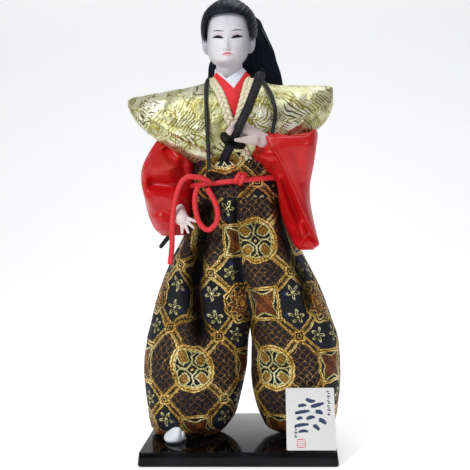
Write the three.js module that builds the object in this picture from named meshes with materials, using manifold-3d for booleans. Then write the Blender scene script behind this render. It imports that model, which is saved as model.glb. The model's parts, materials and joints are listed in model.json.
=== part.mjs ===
// A souvenir samurai doll, standing on a glossy black plinth with its name plate.
// Millimetres, +Z up. The doll faces -Y, and the origin is the middle of the plinth's underside.
import * as THREE from 'three';
import Module from 'manifold-3d';
import { LoftGeometry } from 'three/addons/geometries/LoftGeometry.js';
import { mergeVertices } from 'three/addons/utils/BufferGeometryUtils.js';

const wasm = await Module();
wasm.setup();

// Clearance left between pieces that touch
const gap = 0.3;
// Faces this flat together are merged
const tolerance = 0.05;

// Plinth: sizes across its top, with a slight draft down to the foot
const plinth = { width: 124, depth: 96, height: 9, corner: 2.5, draft: 1, bottomRound: 1.6, topRound: 0.5 };

// Name plate: leans back on the left trouser leg
const plate = { width: 30.6, length: 38.4, thickness: 2.4, corner: 1, leanDegrees: 22, x: 46, footY: -46.2 };

// Feet in split-toe socks, seen as rounded toes below the hems
const feet = { right: -41.6, left: 43.5, sole: plinth.height + gap, sides: 16 };
const footLevels = [
  // height over the sole, half width, toe, heel
  [0, 7, -27, 20],
  [1.4, 7.7, -28.8, 21],
  [3.8, 7.6, -29, 21],
  [6.2, 7, -28.4, 20],
  [8.4, 5.8, -26.8, 19],
  [10, 4, -24.4, 17],
  [10.7, 2.2, -20, 12],
];

// Wide pleated trousers: each leg runs from its hem to the waist, and the two merge above the crotch
const hem = plinth.height + gap;
const waist = 201;
// The waistline rises across the body, from the doll's right side to its left
const waistline = { z: 196.2, slope: 0.19 };
const rightLegLevels = [
  // height, outer side, inner side, front, back
  [hem, -53, -19, -17, 15],
  [11.2, -59, -14, -21, 18],
  [15, -61.2, -9, -24, 21],
  [21, -62.6, -4.6, -26.5, 24],
  [30, -64, -1.5, -28, 26.5],
  [41, -64.9, 1.3, -29, 28],
  [53, -65.3, 4.3, -29.4, 28.5],
  [73, -62.9, 6.1, -29, 28.5],
  [87, -59.6, 8.6, -28.8, 28],
  [107, -53.4, 14, -28.5, 27],
  [128, -44.2, 20, -28, 25.5],
  [145, -34.6, 24, -27, 24],
  [169, -28.8, 27.5, -25, 22],
  [180, -27.6, 28, -23.6, 21],
  [190, -27.6, 27, -24.6, 21],
  [waist, -28, 27, -26, 21],
];
const leftLegLevels = [
  [hem, 56, 31, -17, 15],
  [11.2, 60.2, 26, -21, 18],
  [15, 61.8, 18, -24, 21],
  [21, 63.6, 13.8, -26.5, 24],
  [30, 65.2, 10, -28, 26.5],
  [41, 66.8, 8, -29, 28],
  [53, 67.4, 7.6, -29.4, 28.5],
  [73, 66.2, 8, -29, 28.5],
  [87, 61.8, 6, -28.8, 28],
  [107, 54.6, 0, -28.5, 27],
  [128, 44, -9, -28, 25.5],
  [145, 37, -16, -27, 24],
  [169, 30.6, -25.5, -25, 22],
  [180, 29.4, -26.5, -23.6, 21],
  [190, 29, -26, -24.6, 21],
  [waist, 29, -26, -26, 21],
];
const legSides = 28;
const legRings = 12;
const legCrowding = 1.5;
// Gathers in the cloth: how many round a leg, and how deep they are at the hem and under the waistband
const gathers = { count: 7, atHem: 0.045, atWaist: 0.06, fadeHem: 26, fadeWaist: 48, bandEdge: 167 };
// One deep fold down the front of each leg: where it runs at the waist and at its lower end
const deepFolds = {
  right: { topAngle: 4.2, lowAngle: 4.74, from: 66, to: 176, depth: 0.18, width: 0.19 },
  left: { topAngle: 5.62, lowAngle: 5.4, from: 90, to: 176, depth: 0.16, width: 0.19 },
};

// Winged vest: one lens-shaped section for each station across the body
const vestStations = [
  // x, top ridge, lower edge, front, back
  [-72, 236.4, 230, -3.4, 4.6],
  [-70, 237.2, 226, -7.6, 7.6],
  [-64, 238.2, 217.4, -13.6, 11],
  [-53, 239.9, 208, -20, 14.6],
  [-40, 241.6, 198.6, -25, 17.6],
  [-28, 243.6, 191, -27.8, 20],
  [-15, 246.4, 187.6, -29.6, 21.4],
  [1, 247.6, 187, -30.6, 22],
  [16, 245.6, 187.6, -29.6, 21.4],
  [28, 243, 190.6, -27.6, 20],
  [40, 242.2, 200, -23.6, 17.6],
  [53, 241.7, 210.4, -18, 14],
  [61, 241.3, 217.6, -12, 10.4],
  [64.8, 240.8, 224.6, -6.6, 7],
  [66, 240.2, 228, -3, 4],
];
const vestSides = 14;
const vestRings = 16;
// How pointed a section is: 2 is an ellipse
const vestPower = 1.9;

// The neckline in the front view, as [x, z] corners
const neckline = { left: [-12, 247], middleLeft: [-5.6, 236], right: [8.9, 247.5], middleRight: [6.7, 236] };
const necklineApex = [1.6, 215.5];
// Braided trims run down both edges of the neckline, cross at its foot and go on to the waist
const trim = { width: 4.4, height: 1.2, lowRight: [15, 188] };

// Neck, head and collars
const neck = { x: -2.4, y: -4, halfWidth: 8.7, halfDepth: 8, bottom: 237.5, top: 258 };
const headLevels = [
  // height, half width, front, back
  [254.6, 4.4, -18.2, -3],
  [255.8, 7.2, -20.2, 1],
  [258.6, 10.7, -21, 6],
  [263, 13.1, -20.9, 10],
  [268, 14.5, -20.6, 13],
  [274, 14.9, -20.4, 15],
  [280, 15.1, -20.6, 15.6],
  [286, 14.5, -19.8, 14.8],
  [291, 11.8, -16.8, 11.6],
  [295.5, 6.6, -10.8, 6],
  [297, 2.4, -6, 1.2],
];
const headSides = 20;
const headRings = 14;
const nose = { z: 265.4, halfHeight: 3.4, bridge: 8.4, halfWidth: 1.7, out: 2.6 };
const eyes = { z: 271.8, spread: 6.4, halfWidth: 3.6, halfHeight: 2.4, depth: 0.55 };
const lips = { z: 260.7, halfWidth: 3.4, halfHeight: 1.5, out: 0.5 };
const ears = { spread: 14.2, y: -5, z: 268.2, tiltDegrees: 11, halfSize: [3.3, 3.8, 7] };
const whiteCollar = { apex: [1.6, 236.6], throat: [-0.4, 248.4], halfTop: 13 };
// A height clear above both collars
const throatTop = 262;
const redCollar = { bottom: 238, setBack: 1.2 };

// Combed hair: a cap down to the sideburns, and a tail from the back of the crown
const hairLevels = [
  // height, half width, front, back
  [270.6, 17.6, -15, 15.6],
  [274, 18.4, -18.4, 17.6],
  [280, 18.9, -21.6, 19],
  [286, 18.4, -22.6, 18.8],
  [291.5, 16.2, -20.8, 16.4],
  [296, 11.8, -16.4, 12],
  [299, 6.4, -10.6, 6.6],
  [300, 1.6, -4.4, 0.6],
];
const hairSides = 20;
const hairRings = 7;
// Half of the hairline in the front view, as [distance from the middle, height]
const hairline = [[14.7, 268], [13.9, 275], [12.7, 281], [10.9, 285.4], [8, 287], [0, 287.4]];
const hairlineDepth = -7;
const tailLevels = [
  // height, left, right, front, back
  [197, -15, 29, 22.4, 27.6],
  [212, -17.5, 30.6, 23, 30],
  [228, -19, 32, 23.4, 31],
  [246, -19.8, 32.4, 23, 31],
  [256, -19.4, 30.6, 21.8, 30],
  [264, -18, 28, 20.6, 29],
  [271, -13, 26.4, 19.8, 28],
  [279, -4, 23.2, 18.8, 26],
  [286, 2.6, 20, 13.6, 23],
  [290, 6, 18, 10, 20],
  [293, 8.6, 14.4, 10.4, 16],
];
const tailSides = 12;
const tailRings = 9;

// Sleeves of the red kimono: wide bags that hang from the arms
const rightSleeveLevels = [
  // height, left, right, front, back
  [143.6, -51.6, -34.6, -12, 9],
  [147.5, -55, -32, -16, 11.4],
  [154, -58, -30.4, -20.4, 13],
  [162, -60.4, -29.4, -23.4, 14],
  [172, -62.6, -28.6, -25.4, 14.4],
  [181, -63.2, -28.4, -26, 14.2],
  [190, -61.8, -28, -25, 13.6],
  [199, -58.4, -28.6, -21.4, 12.4],
  [207, -54, -31, -17, 11],
  [214, -49, -34, -12.4, 9],
  [220, -45, -37, -8, 7],
];
const leftSleeveLevels = [
  [132.8, 40.6, 51, -20.4, -11],
  [135.6, 38.4, 54.2, -22.6, -8.6],
  [141, 36, 53.6, -24, -6],
  [149, 32.6, 51.6, -26, -3],
  [157, 29.8, 50, -28, 0],
  [166, 28.4, 48.8, -30, 3],
  [176, 27.6, 49, -31.6, 5],
  [181, 25.4, 50, -33, 5.6],
  [184, 21.5, 50.6, -34.6, 6],
  [188, 16.5, 51.6, -37.4, 6.6],
  [192, 12, 52.4, -39.4, 7],
  [196, 10.4, 53.4, -40.6, 7.2],
  [200, 11.2, 54.2, -41, 7.4],
  [204.6, 14.2, 54.8, -39.8, 7],
  [207.8, 19.2, 54.6, -35.6, 5],
  [209.8, 25, 52.6, -29, 2],
];
const sleeveSides = 16;
const sleeveRings = 10;
// Soft folds round a sleeve
const sleeveFolds = { count: 5, depth: 0.045, turnPerMillimetre: 0.02 };
// The left sleeve's front edge in the front view; inside it the lining lies deeper
const leftCuffEdge = [[17.5, 209], [21.6, 205], [23.2, 199.8], [24.5, 194], [27.4, 187.7], [28.6, 180]];
const leftCuffLining = -35.4;
const cuffHole = { x: -38.5, y: -13, halfWidth: 6.4, halfDepth: 5.6, depth: 15 };

// The sword: a curved scabbard tucked through the waist, the guard, and the wrapped hilt in the left hand
const swordAxis = [
  [-54.2, 6, 134.8], [-46.2, 1, 143.6], [-31, -6, 161.5], [-17.8, -14.2, 177],
  [-7.2, -25, 190.6], [1.4, -37, 204.4], [12, -45.2, 224.2], [20.2, -50, 242.8],
];
const sword = { scabbardWidth: 6, scabbardTip: 4.4, hiltWidth: 5.3, pommelWidth: 6.4, sides: 8 };
// Where the guard sits along the axis, and the room left for it on each side
const guardAt = 0.678;
const guardRoom = 0.013;
const guard = { radius: 8.9, lobes: 4, lobeDepth: 0.11, thickness: 1.7, sides: 24 };

// Hands
const leftHand = { wrist: [19.8, -32.4, 203.2], palm: [9.4, -35.6, 209.8], wristRadius: 5, palmRadius: 4.1 };
// Each finger's knuckle, bend and tip; two show their tips beyond the hilt and the others stay behind it
const leftFingers = [
  [[8.2, -35.4, 213], [2.9, -38.6, 214.4], [-2, -42.4, 208.4]],
  [[7.6, -35.2, 210.8], [1.6, -38.6, 211.6], [-0.6, -42.8, 206.9]],
  [[7, -35, 207.4], [3.4, -36.4, 208.2], [1.4, -37.6, 207.4]],
];
const leftFingerRadius = 1.6;
const leftThumb = { root: [14.6, -37.2, 203.2], tip: [3, -43, 202.9], rootRadius: 3.5, tipRadius: 1.1 };
const rightHand = {
  wrist: [-38.4, -26.4, 162.6], palm: [-33.4, -30.4, 154.6], wristRadius: 3.3, palmRadius: 4.6,
};
const rightFingerTips = [
  [-23.6, -31.4, 152.6], [-25.9, -32.2, 148.9], [-29.2, -32.6, 145.9], [-33.2, -32.4, 145.6],
];
const rightFingers = { rootRadius: 1.5, tipRadius: 0.9, fan: 5.4 };

// Cords: the red belt with its knot, loop and tail, and the black neck cord with its bead
const redCord = { diameter: 3.4, sides: 8, stepDiameters: 1.6 };
const blackCord = { diameter: 2.5, sides: 8, stepDiameters: 3 };
const belt = { z: 178.2, tilt: 0.075, steps: 26 };
const beltKnot = { x: 5.7, y: -28.9, z: 179.2, radius: 2.6, steps: 14 };
const beltLoopPath = [
  [-22.6, -31.6, 175], [-24.4, -32.2, 169], [-24.2, -32.9, 160], [-21.4, -33.6, 151.4], [-16.6, -34, 147.4],
  [-11.8, -34, 150.6], [-10, -33.8, 157.4], [-12, -32.8, 165.6], [-16.4, -31.4, 173.6],
];
const beltTailPath = [
  [-24.4, -32.2, 180.8], [-27.6, -33, 182.2], [-31.6, -33, 179.6], [-35.4, -32.6, 172.6],
  [-37.9, -32.4, 163], [-38.9, -33.6, 154.6], [-39.2, -35.2, 146.6], [-39.6, -35.6, 136.6], [-41, -35, 126],
];
// From the left sleeve over the shoulder, behind the neck, and down the front to the bead
const neckCordPath = [
  [25.3, -31.8, 205.6], [26.6, -31.2, 212.6], [27.7, -29.4, 220.6], [26.4, -26, 229.4], [23, -19.4, 238.2],
  [18.4, -9.8, 245], [13.4, 0.6, 248.2], [7, 8.4, 249.8], [-2, 12, 250.8], [-10.4, 8.2, 249.8],
  [-15.2, 0.6, 248.4], [-16.6, -10.4, 246.2], [-17, -19.4, 240.4], [-16.6, -26.2, 232.2], [-16, -30.6, 220],
  [-15.6, -31.8, 208], [-15.3, -31.2, 196], [-15.3, -30.2, 185.6],
];
const neckCordEndPath = [
  [-14.8, -28.9, 172.4], [-13, -29.6, 166], [-9.6, -30.4, 159.6], [-5.8, -30.6, 152.6],
];
const bead = { x: -15.3, y: -29.9, z: 182.8, radius: 2.1 };

// Rows of a table as a smooth function of their first column
function smoothRows(rows) {
  const keys = rows.map((row) => row[0]);
  const values = rows.flatMap((row) => row.slice(1));
  const curve = new THREE.CubicInterpolant(keys, values, rows[0].length - 1);
  return (key) => [...curve.evaluate(key)];
}

// Steps from the first row's key to the last one's; crowding over 1 packs them near the start
function stepsAlong(rows, count, crowding = 1) {
  const start = rows[0][0];
  const end = rows[rows.length - 1][0];
  return Array.from({ length: count + 1 }, (_, i) => start + (end - start) * (i / count) ** crowding);
}

// How far a superellipse of this power reaches at an angle
function reach(angle, power) {
  const sum = Math.abs(Math.cos(angle)) ** power + Math.abs(Math.sin(angle)) ** power;
  return sum ** (-1 / power);
}

// A level ring between four sides; shape(angle) swells or pinches it
function levelRing(z, [left, right, front, back], sides, power, shape = () => 1) {
  const x = (left + right) / 2;
  const y = (front + back) / 2;
  return Array.from({ length: sides }, (_, i) => {
    const angle = i / sides * Math.PI * 2;
    const size = reach(angle, power) * shape(angle);
    const px = x + (right - left) / 2 * size * Math.cos(angle);
    return new THREE.Vector3(px, y + (back - front) / 2 * size * Math.sin(angle), z);
  });
}

// A closed geometry as a solid that can be joined and cut
function toSolid(geometry) {
  geometry.deleteAttribute('normal');
  geometry.deleteAttribute('uv');
  const merged = mergeVertices(geometry.index ? geometry.toNonIndexed() : geometry, 1e-4);
  const mesh = new wasm.Mesh({
    numProp: 3,
    vertProperties: new Float32Array(merged.attributes.position.array),
    triVerts: new Uint32Array(merged.index.array),
  });
  return new wasm.Manifold(mesh);
}

// A skin through closed sections, with both ends capped
function loft(sections) {
  return toSolid(new LoftGeometry(sections, { capStart: true, capEnd: true }));
}

// A bag of cloth or a head from rows of [height, left, right, front, back]
function loftLevels(rows, sides, rings, extra, power = 2.2, shape = () => () => 1, crowding = 1) {
  const at = smoothRows(rows);
  const heights = stepsAlong(rows, rings, crowding);
  const sections = heights.map((height, i) => {
    const [left, right, front, back] = at(height);
    const z = height + (i === 0 ? -extra : 0) + (i === rings ? extra : 0);
    const edges = [left - extra, right + extra, front - extra, back + extra];
    return levelRing(z, edges, sides, power, shape(height));
  });
  return loft(sections);
}

// Rows that are symmetric about x get their left and right sides
function spreadRows(rows, x) {
  return rows.map(([z, half, front, back]) => [z, x - half, x + half, front, back]);
}

function points(list) {
  return list.map((place) => new THREE.Vector3(...place));
}

function join(solids) {
  return solids.reduce((whole, solid) => whole.add(solid));
}

// What is left of a solid after its neighbours' room is taken, without loose slivers
function cut(solid, cutters) {
  const rest = cutters.reduce((whole, cutter) => whole.subtract(cutter), solid);
  return rest.decompose().reduce((main, body) => (body.volume() > main.volume() ? body : main));
}

// A tapered finger-like rod with round ends
function roundRod(from, to, fromRadius, toRadius, sides = 6) {
  const start = new THREE.Vector3(...from);
  const end = new THREE.Vector3(...to);
  const length = start.distanceTo(end);
  const arc = 2;
  const profile = [];
  for (let i = 0; i <= arc; i += 1) {
    const angle = i / arc * Math.PI / 2;
    profile.push(new THREE.Vector2(fromRadius * Math.sin(angle), -fromRadius * Math.cos(angle)));
  }
  for (let i = arc; i >= 0; i -= 1) {
    const angle = i / arc * Math.PI / 2;
    profile.push(new THREE.Vector2(toRadius * Math.sin(angle), length + toRadius * Math.cos(angle)));
  }
  profile[0].x = 0;
  profile[profile.length - 1].x = 0;
  const geometry = new THREE.LatheGeometry(profile, sides);
  const direction = end.clone().sub(start).normalize();
  geometry.applyQuaternion(new THREE.Quaternion().setFromUnitVectors(new THREE.Vector3(0, 1, 0), direction));
  geometry.translate(...from);
  return toSolid(geometry);
}

function ellipsoid(x, y, z, halfX, halfY, halfZ) {
  const geometry = new THREE.SphereGeometry(1, 8, 6);
  geometry.scale(halfX, halfZ, halfY);
  geometry.rotateX(Math.PI / 2);
  geometry.translate(x, y, z);
  return toSolid(geometry);
}

// A round cord along a path
function cordTube(path, cord, extra = 0) {
  const curve = new THREE.CatmullRomCurve3(points(path));
  const circle = new THREE.Shape().absarc(0, 0, cord.diameter / 2 + extra, 0, Math.PI * 2);
  const outline = new THREE.Shape(circle.getSpacedPoints(cord.sides).slice(0, cord.sides));
  const steps = Math.ceil(curve.getLength() / (cord.diameter * cord.stepDiameters));
  return toSolid(new THREE.ExtrudeGeometry(outline, { steps, extrudePath: curve, bevelEnabled: false }));
}

// A cord whose ends meet, so it needs no caps
function cordRing(path, { diameter, sides }, steps, extra = 0) {
  const curve = new THREE.CatmullRomCurve3(points(path), true);
  const frames = curve.computeFrenetFrames(steps, true);
  const radius = diameter / 2 + extra;
  const sections = frames.tangents.map((_, i) => {
    const centre = curve.getPointAt(i % steps / steps);
    return Array.from({ length: sides }, (_unused, k) => {
      const angle = k / sides * Math.PI * 2;
      const across = frames.normals[i % steps].clone().multiplyScalar(Math.cos(angle) * radius);
      const along = frames.binormals[i % steps].clone().multiplyScalar(Math.sin(angle) * radius);
      return centre.clone().add(across).add(along);
    });
  });
  return toSolid(new LoftGeometry(sections));
}

// A front-view outline of [x, z] corners, made solid between two depths
function frontPrism(outline, front, back) {
  const shape = new THREE.Shape(outline.map(([x, z]) => new THREE.Vector2(x, z)));
  const geometry = new THREE.ExtrudeGeometry(shape, { depth: back - front, bevelEnabled: false });
  geometry.rotateX(Math.PI / 2);
  geometry.translate(0, back, 0);
  return toSolid(geometry);
}

function roundedRectangle(width, depth, radius, z, perCorner = 4) {
  const corners = [[1, 1, 0], [-1, 1, 1], [-1, -1, 2], [1, -1, 3]];
  return corners.flatMap(([sx, sy, turn]) => Array.from({ length: perCorner + 1 }, (_, i) => {
    const angle = (turn + i / perCorner) * Math.PI / 2;
    const x = sx * (width / 2 - radius) + radius * Math.cos(angle);
    return new THREE.Vector3(x, sy * (depth / 2 - radius) + radius * Math.sin(angle), z);
  }));
}

function plinthSolid() {
  const grow = plinth.draft * 2;
  const layers = [
    [0, grow - plinth.bottomRound * 2],
    [plinth.bottomRound * 0.35, grow - plinth.bottomRound * 0.7],
    [plinth.bottomRound, grow],
    [plinth.height - plinth.topRound, 0],
    [plinth.height, -plinth.topRound * 2],
  ];
  return loft(layers.map(([z, wider]) => {
    return roundedRectangle(plinth.width + wider, plinth.depth + wider, plinth.corner, z);
  }));
}

function plateSolid(extra = 0) {
  const half = plate.thickness / 2 + extra;
  const width = plate.width + extra * 2;
  const length = plate.length + extra * 2;
  const geometry = new LoftGeometry(
    [-half, half].map((z) => roundedRectangle(width, length, plate.corner, z, 3)),
    { capStart: true, capEnd: true },
  );
  geometry.translate(0, plate.length / 2, 0);
  geometry.rotateX(Math.PI / 2 - plate.leanDegrees * Math.PI / 180);
  const lift = half * Math.sin(plate.leanDegrees * Math.PI / 180);
  geometry.translate(plate.x, plate.footY, plinth.height + gap + lift);
  return toSolid(geometry);
}

function footSolid(x, extra = 0) {
  const rows = spreadRows(footLevels.map(([z, ...rest]) => [z + feet.sole, ...rest]), x);
  return loftLevels(rows, feet.sides, 5, extra, 2.3);
}

// Gathers and the one deep fold of a trouser leg, as a swell for each angle at a height
function legShape(fold) {
  return (z) => {
    const nearHem = gathers.atHem * Math.exp(-(((z - hem) / gathers.fadeHem) ** 2));
    const below = gathers.bandEdge - z;
    const nearWaist = below < 0 ? 0 : gathers.atWaist * Math.exp(-((below / gathers.fadeWaist) ** 2));
    const along = THREE.MathUtils.clamp((z - fold.from) / (fold.to - fold.from), 0, 1);
    const foldAngle = THREE.MathUtils.lerp(fold.lowAngle, fold.topAngle, along);
    const foldDepth = fold.depth * Math.sin(Math.PI * along) ** 0.7;
    return (angle) => {
      const ripple = (nearHem + nearWaist) * Math.cos(gathers.count * angle + fold.topAngle);
      const away = (angle - foldAngle) / fold.width;
      return 1 + ripple - foldDepth * Math.exp(-away * away);
    };
  };
}

function trouserSolid(extra = 0) {
  const leg = (rows, fold) => loftLevels(rows, legSides, legRings, extra, 2.2, legShape(fold), legCrowding);
  const rightLeg = leg(rightLegLevels, deepFolds.right);
  const swapped = leftLegLevels.map(([z, outer, inner, front, back]) => [z, inner, outer, front, back]);
  const leftLeg = leg(swapped, deepFolds.left);
  const slant = new THREE.Vector3(waistline.slope, 0, -1).normalize();
  return rightLeg.add(leftLeg).trimByPlane(slant.toArray(), -(waistline.z + extra) * -slant.z);
}

// The vest as one loft across the body; each section is a lens from its top ridge to its lower edge
function vestSolid(extra = 0) {
  const at = smoothRows(vestStations);
  const last = vestRings;
  const sections = stepsAlong(vestStations, vestRings).map((station, i) => {
    const [top, low, front, back] = at(station);
    const x = station + (i === 0 ? -extra : 0) + (i === last ? extra : 0);
    const middle = (top + low) / 2;
    return Array.from({ length: vestSides }, (_, k) => {
      const angle = k / vestSides * Math.PI * 2;
      const size = reach(angle, vestPower);
      const side = Math.cos(angle) > 0 ? back + extra : -front + extra;
      const z = middle + ((top - low) / 2 + extra) * size * Math.sin(angle);
      return new THREE.Vector3(x, side * size * Math.cos(angle), z);
    });
  });
  return loft(sections);
}

// The V between the vest's front edges, widened by extra on each side
function necklinePrism(extra = 0) {
  const { left, middleLeft, right, middleRight } = neckline;
  const above = 260;
  const outline = [
    [left[0] - extra - 1, above], [left[0] - extra, left[1]], [middleLeft[0] - extra, middleLeft[1]],
    [necklineApex[0], necklineApex[1] - extra * 2.5], [middleRight[0] + extra, middleRight[1]],
    [right[0] + extra, right[1]], [right[0] + extra + 1, above],
  ];
  return frontPrism(outline, -60, neck.y);
}

// A band of braid beside a neckline edge, lying on the vest
function trimSolid(edge, side, inflated, lifted, extra = 0) {
  const inner = edge.map(([x, z]) => [x - side * extra, z]);
  const outer = edge.map(([x, z]) => [x + side * (trim.width + extra), z - 1]);
  const outline = [...inner, ...outer.reverse()];
  const band = frontPrism(side < 0 ? outline : [...outline].reverse(), -60, -4);
  return band.intersect(lifted).subtract(inflated);
}

function neckSolid(extra = 0) {
  const half = neck.halfWidth + extra;
  const deep = neck.halfDepth + extra;
  const rings = [neck.bottom - extra, neck.bottom + 7, neck.top].map((z) => {
    return levelRing(z, [neck.x - half, neck.x + half, neck.y - deep, neck.y + deep], 14, 2);
  });
  return loft(rings);
}

// The face: nose, eye hollows and lips swell or sink the front of the head
function faceRelief(z) {
  const noseSize = z > nose.z
    ? Math.exp(-(((z - nose.z) / nose.bridge) ** 2))
    : Math.exp(-(((z - nose.z) / nose.halfHeight * 1.6) ** 2));
  const eyeSize = Math.exp(-(((z - eyes.z) / eyes.halfHeight) ** 2));
  const lipSize = Math.exp(-(((z - lips.z) / lips.halfHeight) ** 2));
  return (across) => {
    const fromEye = (Math.abs(across) - eyes.spread) / eyes.halfWidth;
    const noseOut = nose.out * noseSize * Math.exp(-((across / nose.halfWidth) ** 2));
    const eyeIn = eyes.depth * eyeSize * Math.exp(-(fromEye ** 2));
    const lipOut = lips.out * lipSize * Math.exp(-((across / lips.halfWidth) ** 2));
    return noseOut + lipOut - eyeIn;
  };
}

function headSolid(extra = 0) {
  const at = smoothRows(headLevels);
  const sections = stepsAlong(headLevels, headRings).map((height, i) => {
    const [half, front, back] = at(height);
    const z = height + (i === 0 ? -extra : 0) + (i === headRings ? extra : 0);
    const edges = [neck.x - half - extra, neck.x + half + extra, front - extra, back + extra];
    const relief = faceRelief(height);
    return levelRing(z, edges, headSides, 2.15).map((point) => {
      const facing = Math.max(0, (neck.y - point.y) / (neck.y - front));
      return new THREE.Vector3(point.x, point.y - relief(point.x - neck.x) * facing ** 2, point.z);
    });
  });
  return join([loft(sections), neckSolid(extra), ...earSolids(extra)]);
}

function earSolids(extra) {
  const [halfX, halfY, halfZ] = ears.halfSize;
  return [-1, 1].map((side) => {
    const tilt = side * ears.tiltDegrees * Math.PI / 180;
    const geometry = new THREE.SphereGeometry(1, 8, 6);
    geometry.scale(halfX + extra, halfZ + extra, halfY + extra);
    geometry.rotateX(Math.PI / 2);
    geometry.rotateY(tilt);
    geometry.translate(neck.x + side * ears.spread, ears.y, ears.z);
    return toSolid(geometry);
  });
}

// The room that the head takes inside the hair, in few faces
function skullRoomSolid() {
  const room = gap * 3.4;
  return loftLevels(spreadRows(headLevels, neck.x), 16, 9, room, 2.2);
}

function hairCapSolid(extra = 0) {
  return loftLevels(spreadRows(hairLevels, neck.x), hairSides, hairRings, extra, 2.1);
}

// The opening that the hairline leaves in front of the face
function faceWindowSolid() {
  const right = hairline.map(([x, z]) => [neck.x + x, z]);
  const left = hairline.slice(0, -1).reverse().map(([x, z]) => [neck.x - x, z]);
  return frontPrism([...right, ...left], -60, hairlineDepth);
}

function tailSolid(extra = 0) {
  return loftLevels(tailLevels, tailSides, tailRings, extra, 2.3);
}

function sleeveShape(phase) {
  return (z) => (angle) => {
    const turn = sleeveFolds.count * angle + phase + z * sleeveFolds.turnPerMillimetre * sleeveFolds.count;
    return 1 + sleeveFolds.depth * Math.cos(turn);
  };
}

function rightSleeveSolid(extra = 0) {
  return loftLevels(rightSleeveLevels, sleeveSides, sleeveRings, extra, 2.2, sleeveShape(0.6));
}

function leftSleeveSolid(extra = 0) {
  return loftLevels(leftSleeveLevels, sleeveSides, sleeveRings, extra, 2.5, sleeveShape(2.2));
}

// The open front of the left sleeve, beside the hand
function leftCuffSolid() {
  const [top] = leftCuffEdge;
  const foot = leftCuffEdge[leftCuffEdge.length - 1];
  const outline = [[0, foot[1]], ...[...leftCuffEdge].reverse(), [top[0], 220], [0, 220]];
  return frontPrism(outline, -60, leftCuffLining);
}

// The open end of the right sleeve, above the hand
function cuffHoleSolid() {
  const { x, y, halfWidth, halfDepth, depth } = cuffHole;
  const bottom = rightSleeveLevels[0][0];
  const rings = [[-4, 1], [0, 1], [depth, 0.6]].map(([rise, size]) => {
    const wide = halfWidth * size;
    const deep = halfDepth * size;
    return levelRing(bottom + rise, [x - wide, x + wide, y - deep, y + deep], 16, 2);
  });
  return loft(rings);
}

// A stretch of the sword's curved axis, as rings whose width is given for each step
function swordStretch(from, to, steps, widthAt, extra) {
  const curve = new THREE.CatmullRomCurve3(points(swordAxis));
  const up = new THREE.Vector3(0, 1, 0);
  const sections = Array.from({ length: steps + 1 }, (_, i) => {
    const t = from + (to - from) * i / steps;
    const tangent = curve.getTangentAt(t);
    const side = new THREE.Vector3().crossVectors(up, tangent).normalize();
    const over = new THREE.Vector3().crossVectors(tangent, side);
    const end = i === 0 ? -extra : (i === steps ? extra : 0);
    const centre = curve.getPointAt(t).add(tangent.clone().multiplyScalar(end));
    const radius = widthAt(i / steps) / 2 + extra;
    return Array.from({ length: sword.sides }, (_unused, k) => {
      const angle = k / sword.sides * Math.PI * 2;
      const sideways = side.clone().multiplyScalar(Math.cos(angle) * radius);
      return centre.clone().add(sideways).add(over.clone().multiplyScalar(Math.sin(angle) * radius));
    });
  });
  return loft(sections);
}

function scabbardSolid(extra = 0) {
  const { scabbardTip, scabbardWidth } = sword;
  const width = (t) => scabbardTip + (scabbardWidth - scabbardTip) * Math.min(1, t * 5) ** 0.5;
  return swordStretch(0, guardAt - guardRoom, 12, width, extra);
}

function hiltSolid(extra = 0) {
  const { pommelWidth, hiltWidth } = sword;
  const width = (t) => (t > 0.9 ? pommelWidth : hiltWidth);
  return swordStretch(guardAt + guardRoom, 1, 8, width, extra);
}

// The guard: a lobed plate square to the sword
function guardSolid(extra = 0) {
  const curve = new THREE.CatmullRomCurve3(points(swordAxis));
  const outline = new THREE.Shape(Array.from({ length: guard.sides }, (_, i) => {
    const angle = i / guard.sides * Math.PI * 2;
    const waisting = guard.lobeDepth * Math.abs(Math.sin(angle * guard.lobes / 2));
    const radius = (guard.radius + extra) * (1 - waisting);
    return new THREE.Vector2(radius * Math.cos(angle), radius * Math.sin(angle));
  }));
  const depth = guard.thickness + extra * 2;
  const geometry = new THREE.ExtrudeGeometry(outline, { depth, bevelEnabled: false });
  geometry.translate(0, 0, -depth / 2);
  const tangent = curve.getTangentAt(guardAt);
  const side = new THREE.Vector3(0, 1, 0).cross(tangent).normalize();
  geometry.applyMatrix4(new THREE.Matrix4().makeBasis(side, tangent.clone().cross(side), tangent));
  geometry.translate(...curve.getPointAt(guardAt).toArray());
  return toSolid(geometry);
}

// The left hand: the fingers pass behind the hilt and curl round its far side, the thumb lies in front
function leftHandSolid(extra = 0) {
  const { wrist, palm, wristRadius, palmRadius } = leftHand;
  const heel = roundRod(wrist, palm, wristRadius + extra, palmRadius + extra, 8);
  const { root, tip: thumbTip, rootRadius, tipRadius } = leftThumb;
  const thumb = roundRod(root, thumbTip, rootRadius + extra, tipRadius + extra);
  const radius = leftFingerRadius + extra;
  const fingers = leftFingers.map(([knuckle, bend, tip]) => {
    return roundRod(knuckle, bend, radius, radius).add(roundRod(bend, tip, radius, radius - 0.3));
  });
  return join([heel, thumb, ...fingers]);
}

function rightHandSolid(extra = 0) {
  const { wrist, palm, wristRadius, palmRadius } = rightHand;
  const body = roundRod(wrist, palm, wristRadius + extra, palmRadius + extra, 8);
  const fingers = rightFingerTips.map((tip, i) => {
    const fan = (i / (rightFingerTips.length - 1) - 0.5) * rightFingers.fan;
    const root = [palm[0] + 1.4 - fan * 0.5, palm[1] - 1.2, palm[2] - 0.6 - fan * 0.5];
    return roundRod(root, tip, rightFingers.rootRadius + extra, rightFingers.tipRadius + extra);
  });
  return join([body, ...fingers]);
}

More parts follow.
